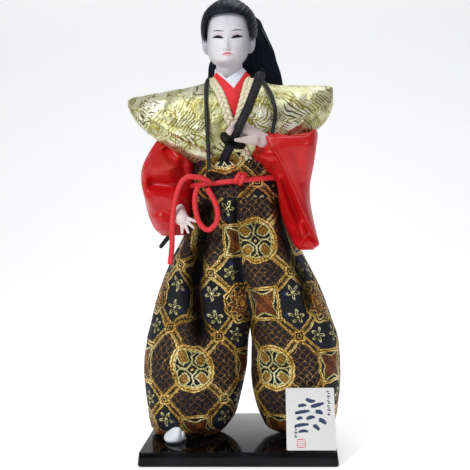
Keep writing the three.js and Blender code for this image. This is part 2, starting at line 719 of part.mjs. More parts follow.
// The belt runs round the waist just off the cloth, rising to the left side of the doll
function beltPath() {
  const at = smoothRows(rightLegLevels);
  const across = smoothRows(leftLegLevels);
  const off = redCord.diameter / 2 + 1.2;
  const [left, , front, back] = at(belt.z);
  const [right] = across(belt.z);
  const ring = levelRing(belt.z, [left - off, right + off, front - off, back + off], 20, 2.2);
  return ring.map((point) => [point.x, point.y, point.z + point.x * belt.tilt]);
}

// The belt's knot: one turn of cord round the belt
function knotSolid() {
  const ring = Array.from({ length: 8 }, (_, i) => {
    const angle = i / 8 * Math.PI * 2;
    const z = beltKnot.z + beltKnot.radius * Math.sin(angle);
    return [beltKnot.x + 1.5 * Math.sin(angle), beltKnot.y + beltKnot.radius * Math.cos(angle), z];
  });
  return cordRing(ring, redCord, beltKnot.steps);
}

function addPiece(group, name, solid, colour, roughness, metalness = 0) {
  const { vertProperties, triVerts, numProp } = solid.simplify(tolerance).getMesh();
  const geometry = new THREE.BufferGeometry();
  geometry.setAttribute('position', new THREE.BufferAttribute(new Float32Array(vertProperties), numProp));
  geometry.setIndex(new THREE.BufferAttribute(new Uint32Array(triVerts), 1));
  geometry.computeVertexNormals();
  const material = new THREE.MeshStandardMaterial({ color: colour, roughness, metalness });
  const mesh = new THREE.Mesh(geometry, material);
  mesh.name = name;
  group.add(mesh);
}

// Rings round the neck that widen downward, for the collars and the room they need
function collarCone({ bottom, low, top, high }, extra = 0) {
  const rings = [[bottom - extra, low], [top + extra, high]].map(([z, [half, front, back]]) => {
    const edges = [neck.x - half - extra, neck.x + half + extra, front - extra, back + extra];
    return levelRing(z, edges, 18, 2);
  });
  return loft(rings);
}

// The part of a collar that stands behind the neck
function behindNeck(top) {
  return frontPrism([[-40, redCollar.bottom], [40, redCollar.bottom], [40, top], [-40, top]], neck.y, 40);
}

// The V where the white collar shows
function whiteOpening(extra = 0) {
  const { apex, halfTop } = whiteCollar;
  const half = halfTop + extra;
  const foot = [apex[0], apex[1] - extra * 2];
  return frontPrism([[neck.x - half, throatTop], foot, [neck.x + half, throatTop]], -60, neck.y);
}

const doll = new THREE.Group();

const vestGrown = vestSolid(gap);
const headGrown = headSolid(gap);
const swordGrown = join([scabbardSolid(gap), hiltSolid(gap), guardSolid(gap)]);

// Cords first, because the cloth gives way under them
const beltRing = cordRing(beltPath(), redCord, belt.steps);
const beltRoom = cordRing(beltPath(), redCord, belt.steps, gap);
const knot = cut(knotSolid(), [beltRoom, trouserSolid(gap)]);
const neckCord = cordTube(neckCordPath, blackCord);
const neckCordRoom = cordTube(neckCordPath, blackCord, gap);
const loopRoom = cordTube(beltLoopPath, redCord, gap);
const tailRoom = cordTube(beltTailPath, redCord, gap);
const neckCordEnd = cordTube(neckCordEndPath, blackCord);
const neckCordEndRoom = cordTube(neckCordEndPath, blackCord, gap);
const beadSolid = ellipsoid(bead.x, bead.y, bead.z, bead.radius, bead.radius, bead.radius);
const beadRoom = ellipsoid(bead.x, bead.y, bead.z, bead.radius + gap, bead.radius + gap, bead.radius + gap);

const trousersGrown = trouserSolid(gap);
const trousers = cut(trouserSolid(), [
  footSolid(feet.right, gap), footSolid(feet.left, gap), plateSolid(gap), swordGrown,
  beltRoom, beadRoom, neckCordEndRoom, tailRoom, loopRoom,
]);

addPiece(doll, 'base', plinthSolid(), 0x101014, 0.12);
addPiece(doll, 'name_plate', plateSolid(), 0xe9e6df, 0.6);
addPiece(doll, 'right_foot', footSolid(feet.right), 0xdfe8f2, 0.8);
addPiece(doll, 'left_foot', footSolid(feet.left), 0xdfe8f2, 0.8);
addPiece(doll, 'hakama', trousers, 0x3a2a16, 0.55, 0.3);

const redCone = { bottom: 236, low: [15, -21, 9], top: 248.6, high: [11.6, -15.6, 7.6] };
const whiteCone = { bottom: 235, low: [12, -20, 7], top: 253.4, high: [9.9, -13.8, 5.6] };
const vest = cut(vestSolid(), [
  necklinePrism(gap), collarCone(redCone, gap), neckSolid(gap), trousersGrown, swordGrown,
  neckCordRoom, beadRoom,
]);
addPiece(doll, 'kataginu', vest, 0xc9c08a, 0.4, 0.45);

const rightTrimEdge = [neckline.left, neckline.middleLeft, necklineApex, trim.lowRight];
const leftTrimEdge = [neckline.right, neckline.middleRight, necklineApex];
const trimTop = vestSolid(gap + trim.height);
const trimTopGrown = vestSolid(gap * 2 + trim.height);
const around = [trousersGrown, swordGrown, neckCordRoom, collarCone(redCone, gap)];
const rightTrim = cut(trimSolid(rightTrimEdge, -1, vestGrown, trimTop), around);
const rightTrimRoom = trimSolid(rightTrimEdge, -1, vestSolid(0), vestSolid(gap * 2 + trim.height), gap);
const leftTrim = cut(trimSolid(leftTrimEdge, 1, vestGrown, trimTop), [...around, rightTrimRoom]);
addPiece(doll, 'right_trim', rightTrim, 0xcdbb95, 0.5, 0.3);
addPiece(doll, 'left_trim', leftTrim, 0xcdbb95, 0.5, 0.3);

const throat = [[neck.x - 14, throatTop], whiteCollar.throat, [neck.x + 14, throatTop]];
const whiteBand = (extra) => {
  const shown = whiteOpening(extra).add(behindNeck(whiteCone.top + extra));
  return collarCone(whiteCone, extra).intersect(shown);
};
const chest = vestSolid(-redCollar.setBack).add(collarCone(redCone));
const shownRed = necklinePrism().add(collarCone(redCone).intersect(behindNeck(redCone.top)));
const red = cut(chest.intersect(shownRed), [
  whiteBand(gap), whiteOpening(gap), headGrown, swordGrown, neckCordRoom,
]);
const whiteCollarPiece = cut(whiteBand(0), [headGrown, frontPrism(throat, -60, neck.y)]);
addPiece(doll, 'white_collar', whiteCollarPiece, 0xe8ebf4, 0.7);
addPiece(doll, 'red_collar', red, 0xd42a3a, 0.5);

addPiece(doll, 'head', headSolid(), 0xece6e0, 0.45);
const hair = cut(hairCapSolid(), [skullRoomSolid(), faceWindowSolid(), ...earSolids(gap)]);
addPiece(doll, 'hair', hair, 0x14141c, 0.5);
const hairGrown = hairCapSolid(gap);
const hairTail = cut(tailSolid(), [hairGrown, headGrown, vestGrown, neckCordRoom]);
addPiece(doll, 'hair_tail', hairTail, 0x0e0e15, 0.5);

const leftHandPiece = cut(leftHandSolid(), [swordGrown, vestGrown]);
const rightHandPiece = cut(rightHandSolid(), [trousersGrown, tailRoom, loopRoom]);
const rightSleeve = cut(rightSleeveSolid(), [
  cuffHoleSolid(), vestGrown, trousersGrown, rightHandSolid(gap), swordGrown, tailRoom, loopRoom, beltRoom,
]);
const leftSleeve = cut(leftSleeveSolid(), [
  leftCuffSolid(), trimTopGrown, vestGrown, trousersGrown, leftHandSolid(gap), neckCordRoom, beltRoom,
]);
addPiece(doll, 'right_sleeve', rightSleeve, 0xc41828, 0.45);
addPiece(doll, 'left_sleeve', leftSleeve, 0xc41828, 0.45);
addPiece(doll, 'right_hand', rightHandPiece, 0xe4d8ce, 0.5);
addPiece(doll, 'left_hand', leftHandPiece, 0xe4d8ce, 0.5);

addPiece(doll, 'sword_hilt', hiltSolid(), 0x15151c, 0.5);
addPiece(doll, 'sword_guard', guardSolid(), 0x15151c, 0.35);
addPiece(doll, 'scabbard', scabbardSolid(), 0x17171f, 0.3);

addPiece(doll, 'belt_cord', beltRing, 0xd8283c, 0.6);
addPiece(doll, 'belt_knot', knot, 0xd8283c, 0.6);
addPiece(doll, 'belt_loop', cordTube(beltLoopPath, redCord), 0xd8283c, 0.6);
addPiece(doll, 'belt_tail', cordTube(beltTailPath, redCord), 0xd8283c, 0.6);
addPiece(doll, 'neck_cord', cut(neckCord, [beadRoom]), 0x111114, 0.7);
addPiece(doll, 'neck_cord_end', neckCordEnd, 0x111114, 0.7);
addPiece(doll, 'cord_bead', beadSolid, 0x0c0c10, 0.15);

export default doll;
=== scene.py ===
import json
import math
import bmesh
import bpy
from mathutils import Matrix, Vector, noise
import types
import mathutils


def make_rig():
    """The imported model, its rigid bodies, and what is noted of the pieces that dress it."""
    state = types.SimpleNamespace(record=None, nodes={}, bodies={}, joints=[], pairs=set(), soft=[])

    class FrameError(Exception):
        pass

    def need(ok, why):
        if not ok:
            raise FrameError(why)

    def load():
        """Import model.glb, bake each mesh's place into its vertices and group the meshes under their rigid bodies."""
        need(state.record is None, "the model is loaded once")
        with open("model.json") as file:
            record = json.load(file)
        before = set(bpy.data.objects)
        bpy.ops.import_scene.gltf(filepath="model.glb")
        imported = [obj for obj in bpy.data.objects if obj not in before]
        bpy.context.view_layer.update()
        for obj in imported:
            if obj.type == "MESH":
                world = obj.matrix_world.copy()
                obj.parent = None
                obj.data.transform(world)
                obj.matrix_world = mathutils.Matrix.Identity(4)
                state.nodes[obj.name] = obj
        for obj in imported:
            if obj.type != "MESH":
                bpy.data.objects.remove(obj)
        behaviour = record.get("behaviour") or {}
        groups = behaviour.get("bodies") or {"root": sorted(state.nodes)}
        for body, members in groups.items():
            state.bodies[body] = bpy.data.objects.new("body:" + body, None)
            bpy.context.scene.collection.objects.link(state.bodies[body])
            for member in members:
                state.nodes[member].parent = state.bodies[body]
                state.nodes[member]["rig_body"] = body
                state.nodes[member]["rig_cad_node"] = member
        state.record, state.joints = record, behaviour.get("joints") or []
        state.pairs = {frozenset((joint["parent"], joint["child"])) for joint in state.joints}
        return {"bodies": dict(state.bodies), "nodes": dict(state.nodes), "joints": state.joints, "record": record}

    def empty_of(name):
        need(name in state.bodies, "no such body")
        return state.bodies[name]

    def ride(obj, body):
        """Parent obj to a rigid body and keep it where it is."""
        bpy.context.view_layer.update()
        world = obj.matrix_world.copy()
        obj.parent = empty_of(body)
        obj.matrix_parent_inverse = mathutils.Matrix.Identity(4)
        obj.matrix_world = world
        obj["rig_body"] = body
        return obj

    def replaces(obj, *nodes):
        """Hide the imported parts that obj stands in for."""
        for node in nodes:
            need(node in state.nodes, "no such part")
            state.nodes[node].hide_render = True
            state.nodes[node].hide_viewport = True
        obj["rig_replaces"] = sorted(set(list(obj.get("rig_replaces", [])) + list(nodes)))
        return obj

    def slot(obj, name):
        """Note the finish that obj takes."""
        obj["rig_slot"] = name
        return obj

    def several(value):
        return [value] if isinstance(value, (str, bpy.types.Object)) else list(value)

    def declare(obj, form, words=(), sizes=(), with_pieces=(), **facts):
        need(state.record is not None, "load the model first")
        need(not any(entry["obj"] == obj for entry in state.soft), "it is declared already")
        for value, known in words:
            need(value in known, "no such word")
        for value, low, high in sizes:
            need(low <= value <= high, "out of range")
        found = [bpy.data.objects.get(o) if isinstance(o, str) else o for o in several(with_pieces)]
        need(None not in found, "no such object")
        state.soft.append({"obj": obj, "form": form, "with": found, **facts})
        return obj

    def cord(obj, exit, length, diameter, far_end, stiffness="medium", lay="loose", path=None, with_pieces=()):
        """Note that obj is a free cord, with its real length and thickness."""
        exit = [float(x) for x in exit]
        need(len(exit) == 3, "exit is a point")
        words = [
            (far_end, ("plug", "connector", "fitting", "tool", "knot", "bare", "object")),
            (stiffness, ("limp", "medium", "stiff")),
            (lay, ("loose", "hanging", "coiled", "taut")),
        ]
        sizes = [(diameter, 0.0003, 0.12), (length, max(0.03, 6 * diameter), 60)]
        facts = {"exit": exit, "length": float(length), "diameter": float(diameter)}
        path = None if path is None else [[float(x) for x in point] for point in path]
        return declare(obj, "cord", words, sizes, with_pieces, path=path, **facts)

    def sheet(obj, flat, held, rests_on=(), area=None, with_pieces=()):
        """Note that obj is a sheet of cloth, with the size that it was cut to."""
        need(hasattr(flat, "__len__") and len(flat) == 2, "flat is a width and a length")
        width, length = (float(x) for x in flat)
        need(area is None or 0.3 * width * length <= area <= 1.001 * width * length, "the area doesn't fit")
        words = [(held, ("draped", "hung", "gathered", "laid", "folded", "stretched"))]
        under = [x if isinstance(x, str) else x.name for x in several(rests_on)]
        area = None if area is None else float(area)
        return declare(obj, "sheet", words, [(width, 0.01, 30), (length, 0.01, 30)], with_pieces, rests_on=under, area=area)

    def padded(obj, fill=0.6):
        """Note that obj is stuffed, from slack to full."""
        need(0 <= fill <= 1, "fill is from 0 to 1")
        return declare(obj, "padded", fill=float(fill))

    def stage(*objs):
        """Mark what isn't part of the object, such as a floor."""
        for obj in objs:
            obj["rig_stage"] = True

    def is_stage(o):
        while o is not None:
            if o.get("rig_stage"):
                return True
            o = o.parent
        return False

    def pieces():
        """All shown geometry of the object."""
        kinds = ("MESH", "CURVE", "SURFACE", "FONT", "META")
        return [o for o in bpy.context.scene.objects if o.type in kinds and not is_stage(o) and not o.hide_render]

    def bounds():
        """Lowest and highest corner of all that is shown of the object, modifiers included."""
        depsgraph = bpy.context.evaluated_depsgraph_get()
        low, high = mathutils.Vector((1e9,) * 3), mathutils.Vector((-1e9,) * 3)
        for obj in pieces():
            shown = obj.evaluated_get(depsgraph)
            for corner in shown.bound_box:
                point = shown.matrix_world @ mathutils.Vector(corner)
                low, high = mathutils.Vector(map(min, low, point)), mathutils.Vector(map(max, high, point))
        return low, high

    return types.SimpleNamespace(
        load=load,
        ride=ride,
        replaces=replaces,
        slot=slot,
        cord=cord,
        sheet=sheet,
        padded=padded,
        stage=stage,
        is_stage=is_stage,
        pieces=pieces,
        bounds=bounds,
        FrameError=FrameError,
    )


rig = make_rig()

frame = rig.load()
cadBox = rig.bounds()
turn = 2 * math.pi

toMetres = Matrix.Scale(0.001, 4)

# Camera, in millimetres and degrees; the focal length and the frame are in pixels of the picture
camera = {"place": (33.979, -524.897, 156.492), "yaw": 3.877, "pitch": 1.484, "roll": 1.26, "focal": 776.725,
          "frame": 470, "sensor": 36}


def makeCamera():
    yaw, pitch, roll = (math.radians(camera[name]) for name in ("yaw", "pitch", "roll"))
    ahead = Vector((-math.sin(yaw) * math.cos(pitch), math.cos(yaw) * math.cos(pitch), -math.sin(pitch)))
    level = Vector((math.cos(yaw), math.sin(yaw), 0))
    above = level.cross(ahead)
    right = level * math.cos(roll) - above * math.sin(roll)
    up = above * math.cos(roll) + level * math.sin(roll)
    data = bpy.data.cameras.new("camera")
    data.sensor_width = camera["sensor"]
    data.lens = camera["focal"] / camera["frame"] * camera["sensor"]
    data.clip_start = 0.01
    view = bpy.data.objects.new("camera", data)
    bpy.context.scene.collection.objects.link(view)
    turned = Matrix((right, up, -ahead)).transposed()
    view.matrix_world = Matrix.Translation(Vector(camera["place"]) / 1000) @ turned.to_4x4()
    bpy.context.scene.camera = view


makeCamera()


# Shapes

def smoothRows(rows):
    # a smooth function through rows of [key, values...]
    keys = [row[0] for row in rows]
    last = len(keys) - 1

    def at(key):
        key = min(max(key, keys[0]), keys[last])
        i = next((k for k in range(1, last) if key < keys[k]), last)
        t0, t1 = keys[i - 1], keys[i]
        before, earlier = (keys[i - 2], rows[i - 2]) if i > 1 else (2 * t0 - t1, rows[i])
        after, later = (keys[i + 1], rows[i + 1]) if i < last else (2 * t1 - t0, rows[i - 1])
        half = (t1 - t0) / 2
        wP, wN = half / (t0 - before), half / (after - t1)
        p = (key - t0) / (t1 - t0)
        sP = -wP * p ** 3 + 2 * wP * p ** 2 - wP * p
        s0 = (1 + wP) * p ** 3 + (-1.5 - 2 * wP) * p ** 2 + (-0.5 + wP) * p + 1
        s1 = (-1 - wN) * p ** 3 + (1.5 + wN) * p ** 2 + 0.5 * p
        sN = wN * p ** 3 - wN * p ** 2
        four = zip(earlier[1:], rows[i - 1][1:], rows[i][1:], later[1:])
        return [sP * a + s0 * b + s1 * c + sN * d for a, b, c, d in four]

    return at


def smoothPath(points, step, closed=False):
    # evenly spaced places on a centripetal curve through the points
    points = [Vector(point) for point in points]
    count = len(points)
    fine = 30
    spots = []
    for i in range(count if closed else count - 1):
        if closed:
            a, b, c, d = (points[(i + k) % count] for k in (-1, 0, 1, 2))
        else:
            b, c = points[i], points[i + 1]
            a = points[i - 1] if i else 2 * b - c
            d = points[i + 2] if i + 2 < count else 2 * c - b
        g0, g1, g2 = ((q - p).length ** 0.5 for p, q in ((a, b), (b, c), (c, d)))
        t1 = ((b - a) / g0 - (c - a) / (g0 + g1) + (c - b) / g1) * g1
        t2 = ((c - b) / g1 - (d - b) / (g1 + g2) + (d - c) / g2) * g1
        for k in range(fine):
            t = k / fine
            spots.append(b + t1 * t + (3 * (c - b) - 2 * t1 - t2) * t * t + (2 * (b - c) + t1 + t2) * t ** 3)
    spots.append(points[0].copy() if closed else points[-1].copy())
    lengths = [0.0]
    for p, q in zip(spots, spots[1:]):
        lengths.append(lengths[-1] + (q - p).length)
    pieces = max(2, round(lengths[-1] / step))
    even = []
    k = 0
    for i in range(pieces + 1):
        wanted = lengths[-1] * i / pieces
        while k < len(lengths) - 2 and lengths[k + 1] < wanted:
            k += 1
        share = (wanted - lengths[k]) / max(lengths[k + 1] - lengths[k], 1e-9)
        even.append(spots[k].lerp(spots[k + 1], min(max(share, 0), 1)))
    return even


def pathLength(path):
    return sum((q - p).length for p, q in zip(path, path[1:]))


def reach(angle, power):
    # how far a superellipse of this power reaches at an angle
    return (abs(math.cos(angle)) ** power + abs(math.sin(angle)) ** power) ** (-1 / power)


def levelPoint(edges, z, angle, power=2.2, swell=1.0):
    left, right, front, back = edges
    size = reach(angle, power) * swell
    x = (left + right + (right - left) * size * math.cos(angle)) / 2
    return Vector((x, (front + back + (back - front) * size * math.sin(angle)) / 2, z))


def bell(distance, width):
    return math.exp(-(distance / width) ** 2)


def ease(value, low, high):
    share = min(max((value - low) / (high - low), 0), 1)
    return share * share * (3 - 2 * share)


def ripple(x, y, z, size):
    # soft bumps about this many millimetres across, between -1 and 1
    return noise.noise(Vector((x, y, z)) / size)


def gridMesh(across, along, place, uvAt=None, closed=True):
    # a grid whose corners are moved to place(i, j); a closed one meets itself and gets its ends filled
    bm = bmesh.new()
    layer = bm.loops.layers.uv.new("UVMap")
    bmesh.ops.create_grid(bm, x_segments=across, y_segments=along, size=0.5)
    cells = {v: (round((v.co.x + 0.5) * across), round((v.co.y + 0.5) * along)) for v in bm.verts}
    for face in bm.faces:
        row = min(cells[v][1] for v in face.verts)
        for corner in face.loops:
            i, j = cells[corner.vert]
            corner[layer].uv = uvAt(i, j, row) if uvAt else (i / across, j / along)
    for v, (i, j) in cells.items():
        v.co = place(i, j)
    if closed:
        bmesh.ops.remove_doubles(bm, verts=bm.verts, dist=1e-3)
        bmesh.ops.holes_fill(bm, edges=[edge for edge in bm.edges if edge.is_boundary], sides=0)
    bmesh.ops.recalc_face_normals(bm, faces=bm.faces)
    return bm


def sweepMesh(path, sides, section, up=None, joined=False):
    # a section(angle, distance) of [sideways, upward] offsets carried along a path
    last = len(path) - 1
    rings, distances = [], [0.0]
    above = None
    for j, spot in enumerate(path):
        if j:
            distances.append(distances[-1] + (spot - path[j - 1]).length)
        before = path[j - 1] if j else path[last - 1 if joined else 0]
        after = path[j + 1] if j < last else path[1 if joined else last]
        along = (after - before).normalized()
        if up:
            above = Vector(up)
        elif above is None:
            above = Vector((0, 0, 1)) if abs(along.z) < 0.8 else Vector((0, -1, 0))
        above = (above - along * above.dot(along)).normalized()
        rings.append((spot, along.cross(above), above))

    def place(i, j):
        spot, side, over = rings[j]
        sideways, upward = section(i % sides / sides * turn, distances[j])
        return spot + side * sideways + over * upward

    # the UV goes round once, and along once in 10 mm
    return gridMesh(sides, last, place, lambda i, j, row: (i / sides, distances[j] / 10))


def oval(half, deep, taper=0):
    # an oval section for a sweep, with the share of it that each millimetre takes away
    def section(angle, distance):
        size = 1 - taper * distance
        return half * size * math.cos(angle), deep * size * math.sin(angle)

    return section


def joinMeshes(parts):
    # several closed shapes as one mesh
    whole = parts[0]
    for part in parts[1:]:
        spare = bpy.data.meshes.new("spare")
        part.to_mesh(spare)
        whole.from_mesh(spare)
        bpy.data.meshes.remove(spare)
        part.free()
    return whole


def makeObject(name, bm, paint=None):
    # a shape in millimetres as an object in metres; paint(x, y, z) gives each corner of the mesh a colour
    mesh = bpy.data.meshes.new(name)
    bm.to_mesh(mesh)
    bm.free()
    if paint:
        layer = mesh.color_attributes.new("paint", "FLOAT_COLOR", "POINT")
        for i, corner in enumerate(mesh.vertices):
            layer.data[i].color = paint(*corner.co)
    mesh.transform(toMetres)
    made = bpy.data.objects.new(name, mesh)
    bpy.context.scene.collection.objects.link(made)
    return made


def smoothShade(mesh, sharp):
    # smooth all over, except at edges that turn by more than this many degrees
    mesh.shade_smooth()
    mesh.set_sharp_from_angle(angle=math.radians(sharp))


def addPiece(name, bm, material, replaced, slot, sharp=50, paint=None):
    piece = makeObject(name, bm, paint)
    smoothShade(piece.data, sharp)
    piece.data.materials.append(material)
    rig.ride(piece, "root")
    if replaced:
        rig.replaces(piece, *replaced)
    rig.slot(piece, slot)
    return piece


def applyModifiers(piece, sharp):
    made = bpy.data.meshes.new_from_object(piece.evaluated_get(bpy.context.evaluated_depsgraph_get()))
    piece.modifiers.clear()
    piece.data = made
    smoothShade(made, sharp)


def carve(piece, bm, sharp):
    # takes a closed shape in millimetres out of a piece
    cutter = makeObject("cutter", bm)
    modifier = piece.modifiers.new("carve", "BOOLEAN")
    modifier.operation = "DIFFERENCE"
    modifier.solver = "EXACT"
    modifier.object = cutter
    applyModifiers(piece, sharp)
    bpy.data.objects.remove(cutter)


def thicken(bm, faces, offset):
    # a flat shape made solid
    made = bmesh.ops.extrude_face_region(bm, geom=faces)
    moved = [part for part in made["geom"] if isinstance(part, bmesh.types.BMVert)]
    bmesh.ops.translate(bm, verts=moved, vec=offset)
    bmesh.ops.recalc_face_normals(bm, faces=bm.faces)


def frontPrism(outline, front, back):
    # a front-view outline of [x, z] corners, made solid between two depths
    bm = bmesh.new()
    face = bm.faces.new([bm.verts.new((x, front, z)) for x, z in outline])
    thicken(bm, [face], (0, back - front, 0))
    return bm


def boardMesh(width, depth, height):
    bm = bmesh.new()
    bmesh.ops.create_cube(bm, size=1)
    bmesh.ops.scale(bm, verts=bm.verts, vec=(width, depth, height))
    return bm


def isUpright(edge):
    return abs(edge.verts[0].co.z - edge.verts[1].co.z) > 1


def isRim(edge):
    return len(edge.link_faces) == 2 and edge.calc_face_angle() > 1.2


def roundEdges(bm, wanted, offset, segments):
    edges = [edge for edge in bm.edges if wanted(edge)]
    bmesh.ops.bevel(bm, geom=edges, offset=offset, segments=segments, profile=0.5, affect="EDGES", material=-1)


def nearSegment(x, z, start, end):
    # how far a place in the front view is from a segment, and the share of it that lies behind the nearest point
    dx, dz = end[0] - start[0], end[1] - start[1]
    share = min(max(((x - start[0]) * dx + (z - start[1]) * dz) / (dx * dx + dz * dz), 0), 1)
    return math.hypot(x - start[0] - dx * share, z - start[1] - dz * share), share


def nearLine(x, z, line):
    # how far a place in the front view is from a line of [x, z] corners, and how far along it lies, from 0 to 1
    best, along, passed = 1e9, 0, 0
    total = sum(math.dist(a, b) for a, b in zip(line, line[1:]))
    for start, end in zip(line, line[1:]):
        away, share = nearSegment(x, z, start, end)
        length = math.dist(start, end)
        if away < best:
            best, along = away, (passed + share * length) / total
        passed += length
    return best, along


def creased(x, z, creases):
    # the height of drawn folds: [height, width, line]; heights over 0 are crisp ridges, under 0 soft hollows
    rise = 0
    for height, wide, line in creases:
        away, along = nearLine(x, z, line)
        if away < wide * 4:
            fade = ease(min(along, 1 - along), -0.02, 0.15)
            rise += height * fade * (math.exp(-away / wide) if height > 0 else bell(away, wide))
    return rise


def lineAt(line, value, axis=1, least=0):
    # x at a height on a line of [x, z] corners, or with axis 0 the height at an x; least under 0 carries its start on
    line = sorted(line, key=lambda corner: corner[axis])
    for start, end in zip(line, line[1:]):
        if value <= end[axis]:
            share = min(max((value - start[axis]) / (end[axis] - start[axis]), least), 1)
            return start[1 - axis] + (end[1 - axis] - start[1 - axis]) * share
    return line[-1][1 - axis]


# Materials

def srgb(code):
    parts = [int(code[k:k + 2], 16) / 255 for k in (1, 3, 5)]
    return tuple(c / 12.92 if c <= 0.04045 else ((c + 0.055) / 1.055) ** 2.4 for c in parts) + (1.0,)


def newMaterial(name, **settings):
    material = bpy.data.materials.new(name)
    material.use_nodes = True
    shader = material.node_tree.nodes["Principled BSDF"]
    for socket, value in settings.items():
        shader.inputs[socket.replace("_", " ")].default_value = value
    return material, material.node_tree, shader


def addNode(tree, kind, *inputs, stops=(), **settings):
    # kind is the node's name and its operation; inputs go to its sockets in order, settings by name, stops to a ramp
    kind, _, operation = kind.partition(" ")
    node = tree.nodes.new("ShaderNode" + kind)
    if operation:
        node.operation = operation
    pairs = [(socket, value) for socket, value in zip(node.inputs, inputs)]
    for name, value in settings.items():
        if hasattr(node, name):
            setattr(node, name, value)
        else:
            pairs.append((node.inputs[name.replace("_", " ")], value))
    for socket, value in pairs:
        if isinstance(value, bpy.types.Node):
            value = next(output for output in value.outputs if output.enabled)
        if isinstance(value, bpy.types.NodeSocket):
            tree.links.new(value, socket)
        elif value is not None:
            socket.default_value = value
    for k, (stop, code) in enumerate(stops):
        element = node.color_ramp.elements[k] if k < 2 else node.color_ramp.elements.new(stop)
        element.position = stop
        element.color = srgb(code)
    return node


def wire(tree, shader, **links):
    for name, node in links.items():
        output = node if isinstance(node, bpy.types.NodeSocket) else next(o for o in node.outputs if o.enabled)
        tree.links.new(output, shader.inputs[name.replace("_", " ")])


# Satin of rayon, and plain cotton: a close smooth weave, broad soft highlights and a faint sheen
def satinMaterial(name, deep, light, sheen, roughness):
    material, tree, shader = newMaterial(
        name, Sheen_Weight=0.04, Sheen_Roughness=0.4, Sheen_Tint=srgb(sheen), Specular_IOR_Level=0.4)
    spot = addNode(tree, "TexCoord")
    cloud = addNode(tree, "TexNoise", Vector=spot.outputs["Object"], Scale=45.0, Detail=3.0)
    mix = addNode(tree, "MixRGB", cloud, srgb(deep), srgb(light))
    # threads every 1 mm, drawn about four times as coarse as the real ones so that they show
    weft, warp = (addNode(tree, "TexWave", Vector=spot.outputs["Object"], Scale=320.0, Distortion=0.6,
                          bands_direction=direction) for direction in "ZX")
    threads = addNode(tree, "Math ADD", weft, warp)
    bump = addNode(tree, "Bump", 0.05, 0.0002, Height=threads)
    rough = addNode(tree, "MapRange", cloud, 0.3, 0.7, roughness - 0.06, roughness + 0.08)
    wire(tree, shader, Base_Color=mix, Roughness=rough, Normal=bump)
    return material


redSatin = satinMaterial("redRayonSatin", "#a80309", "#cf0a12", "#ff9aa4", 0.36)
redCotton = satinMaterial("redCottonCollar", "#dc1c22", "#ee343a", "#ff9aa4", 0.6)
whiteCotton = satinMaterial("whiteCottonCollar", "#dfe2f2", "#f1f3fb", "#ffffff", 0.7)
tabiCotton = satinMaterial("tabiCotton", "#e4edf6", "#fbfdff", "#ffffff", 0.75)


# Jacquard brocade: black and purple-brown ground, ochre-gold lurex bands and medallions. These sizes are in
# millimetres, and those inside the material are shares of the repeat
pattern = {"period": 82.0, "weftStep": 0.45, "hatch": 1.3, "lattice": 5.2, "bow": 9.2}


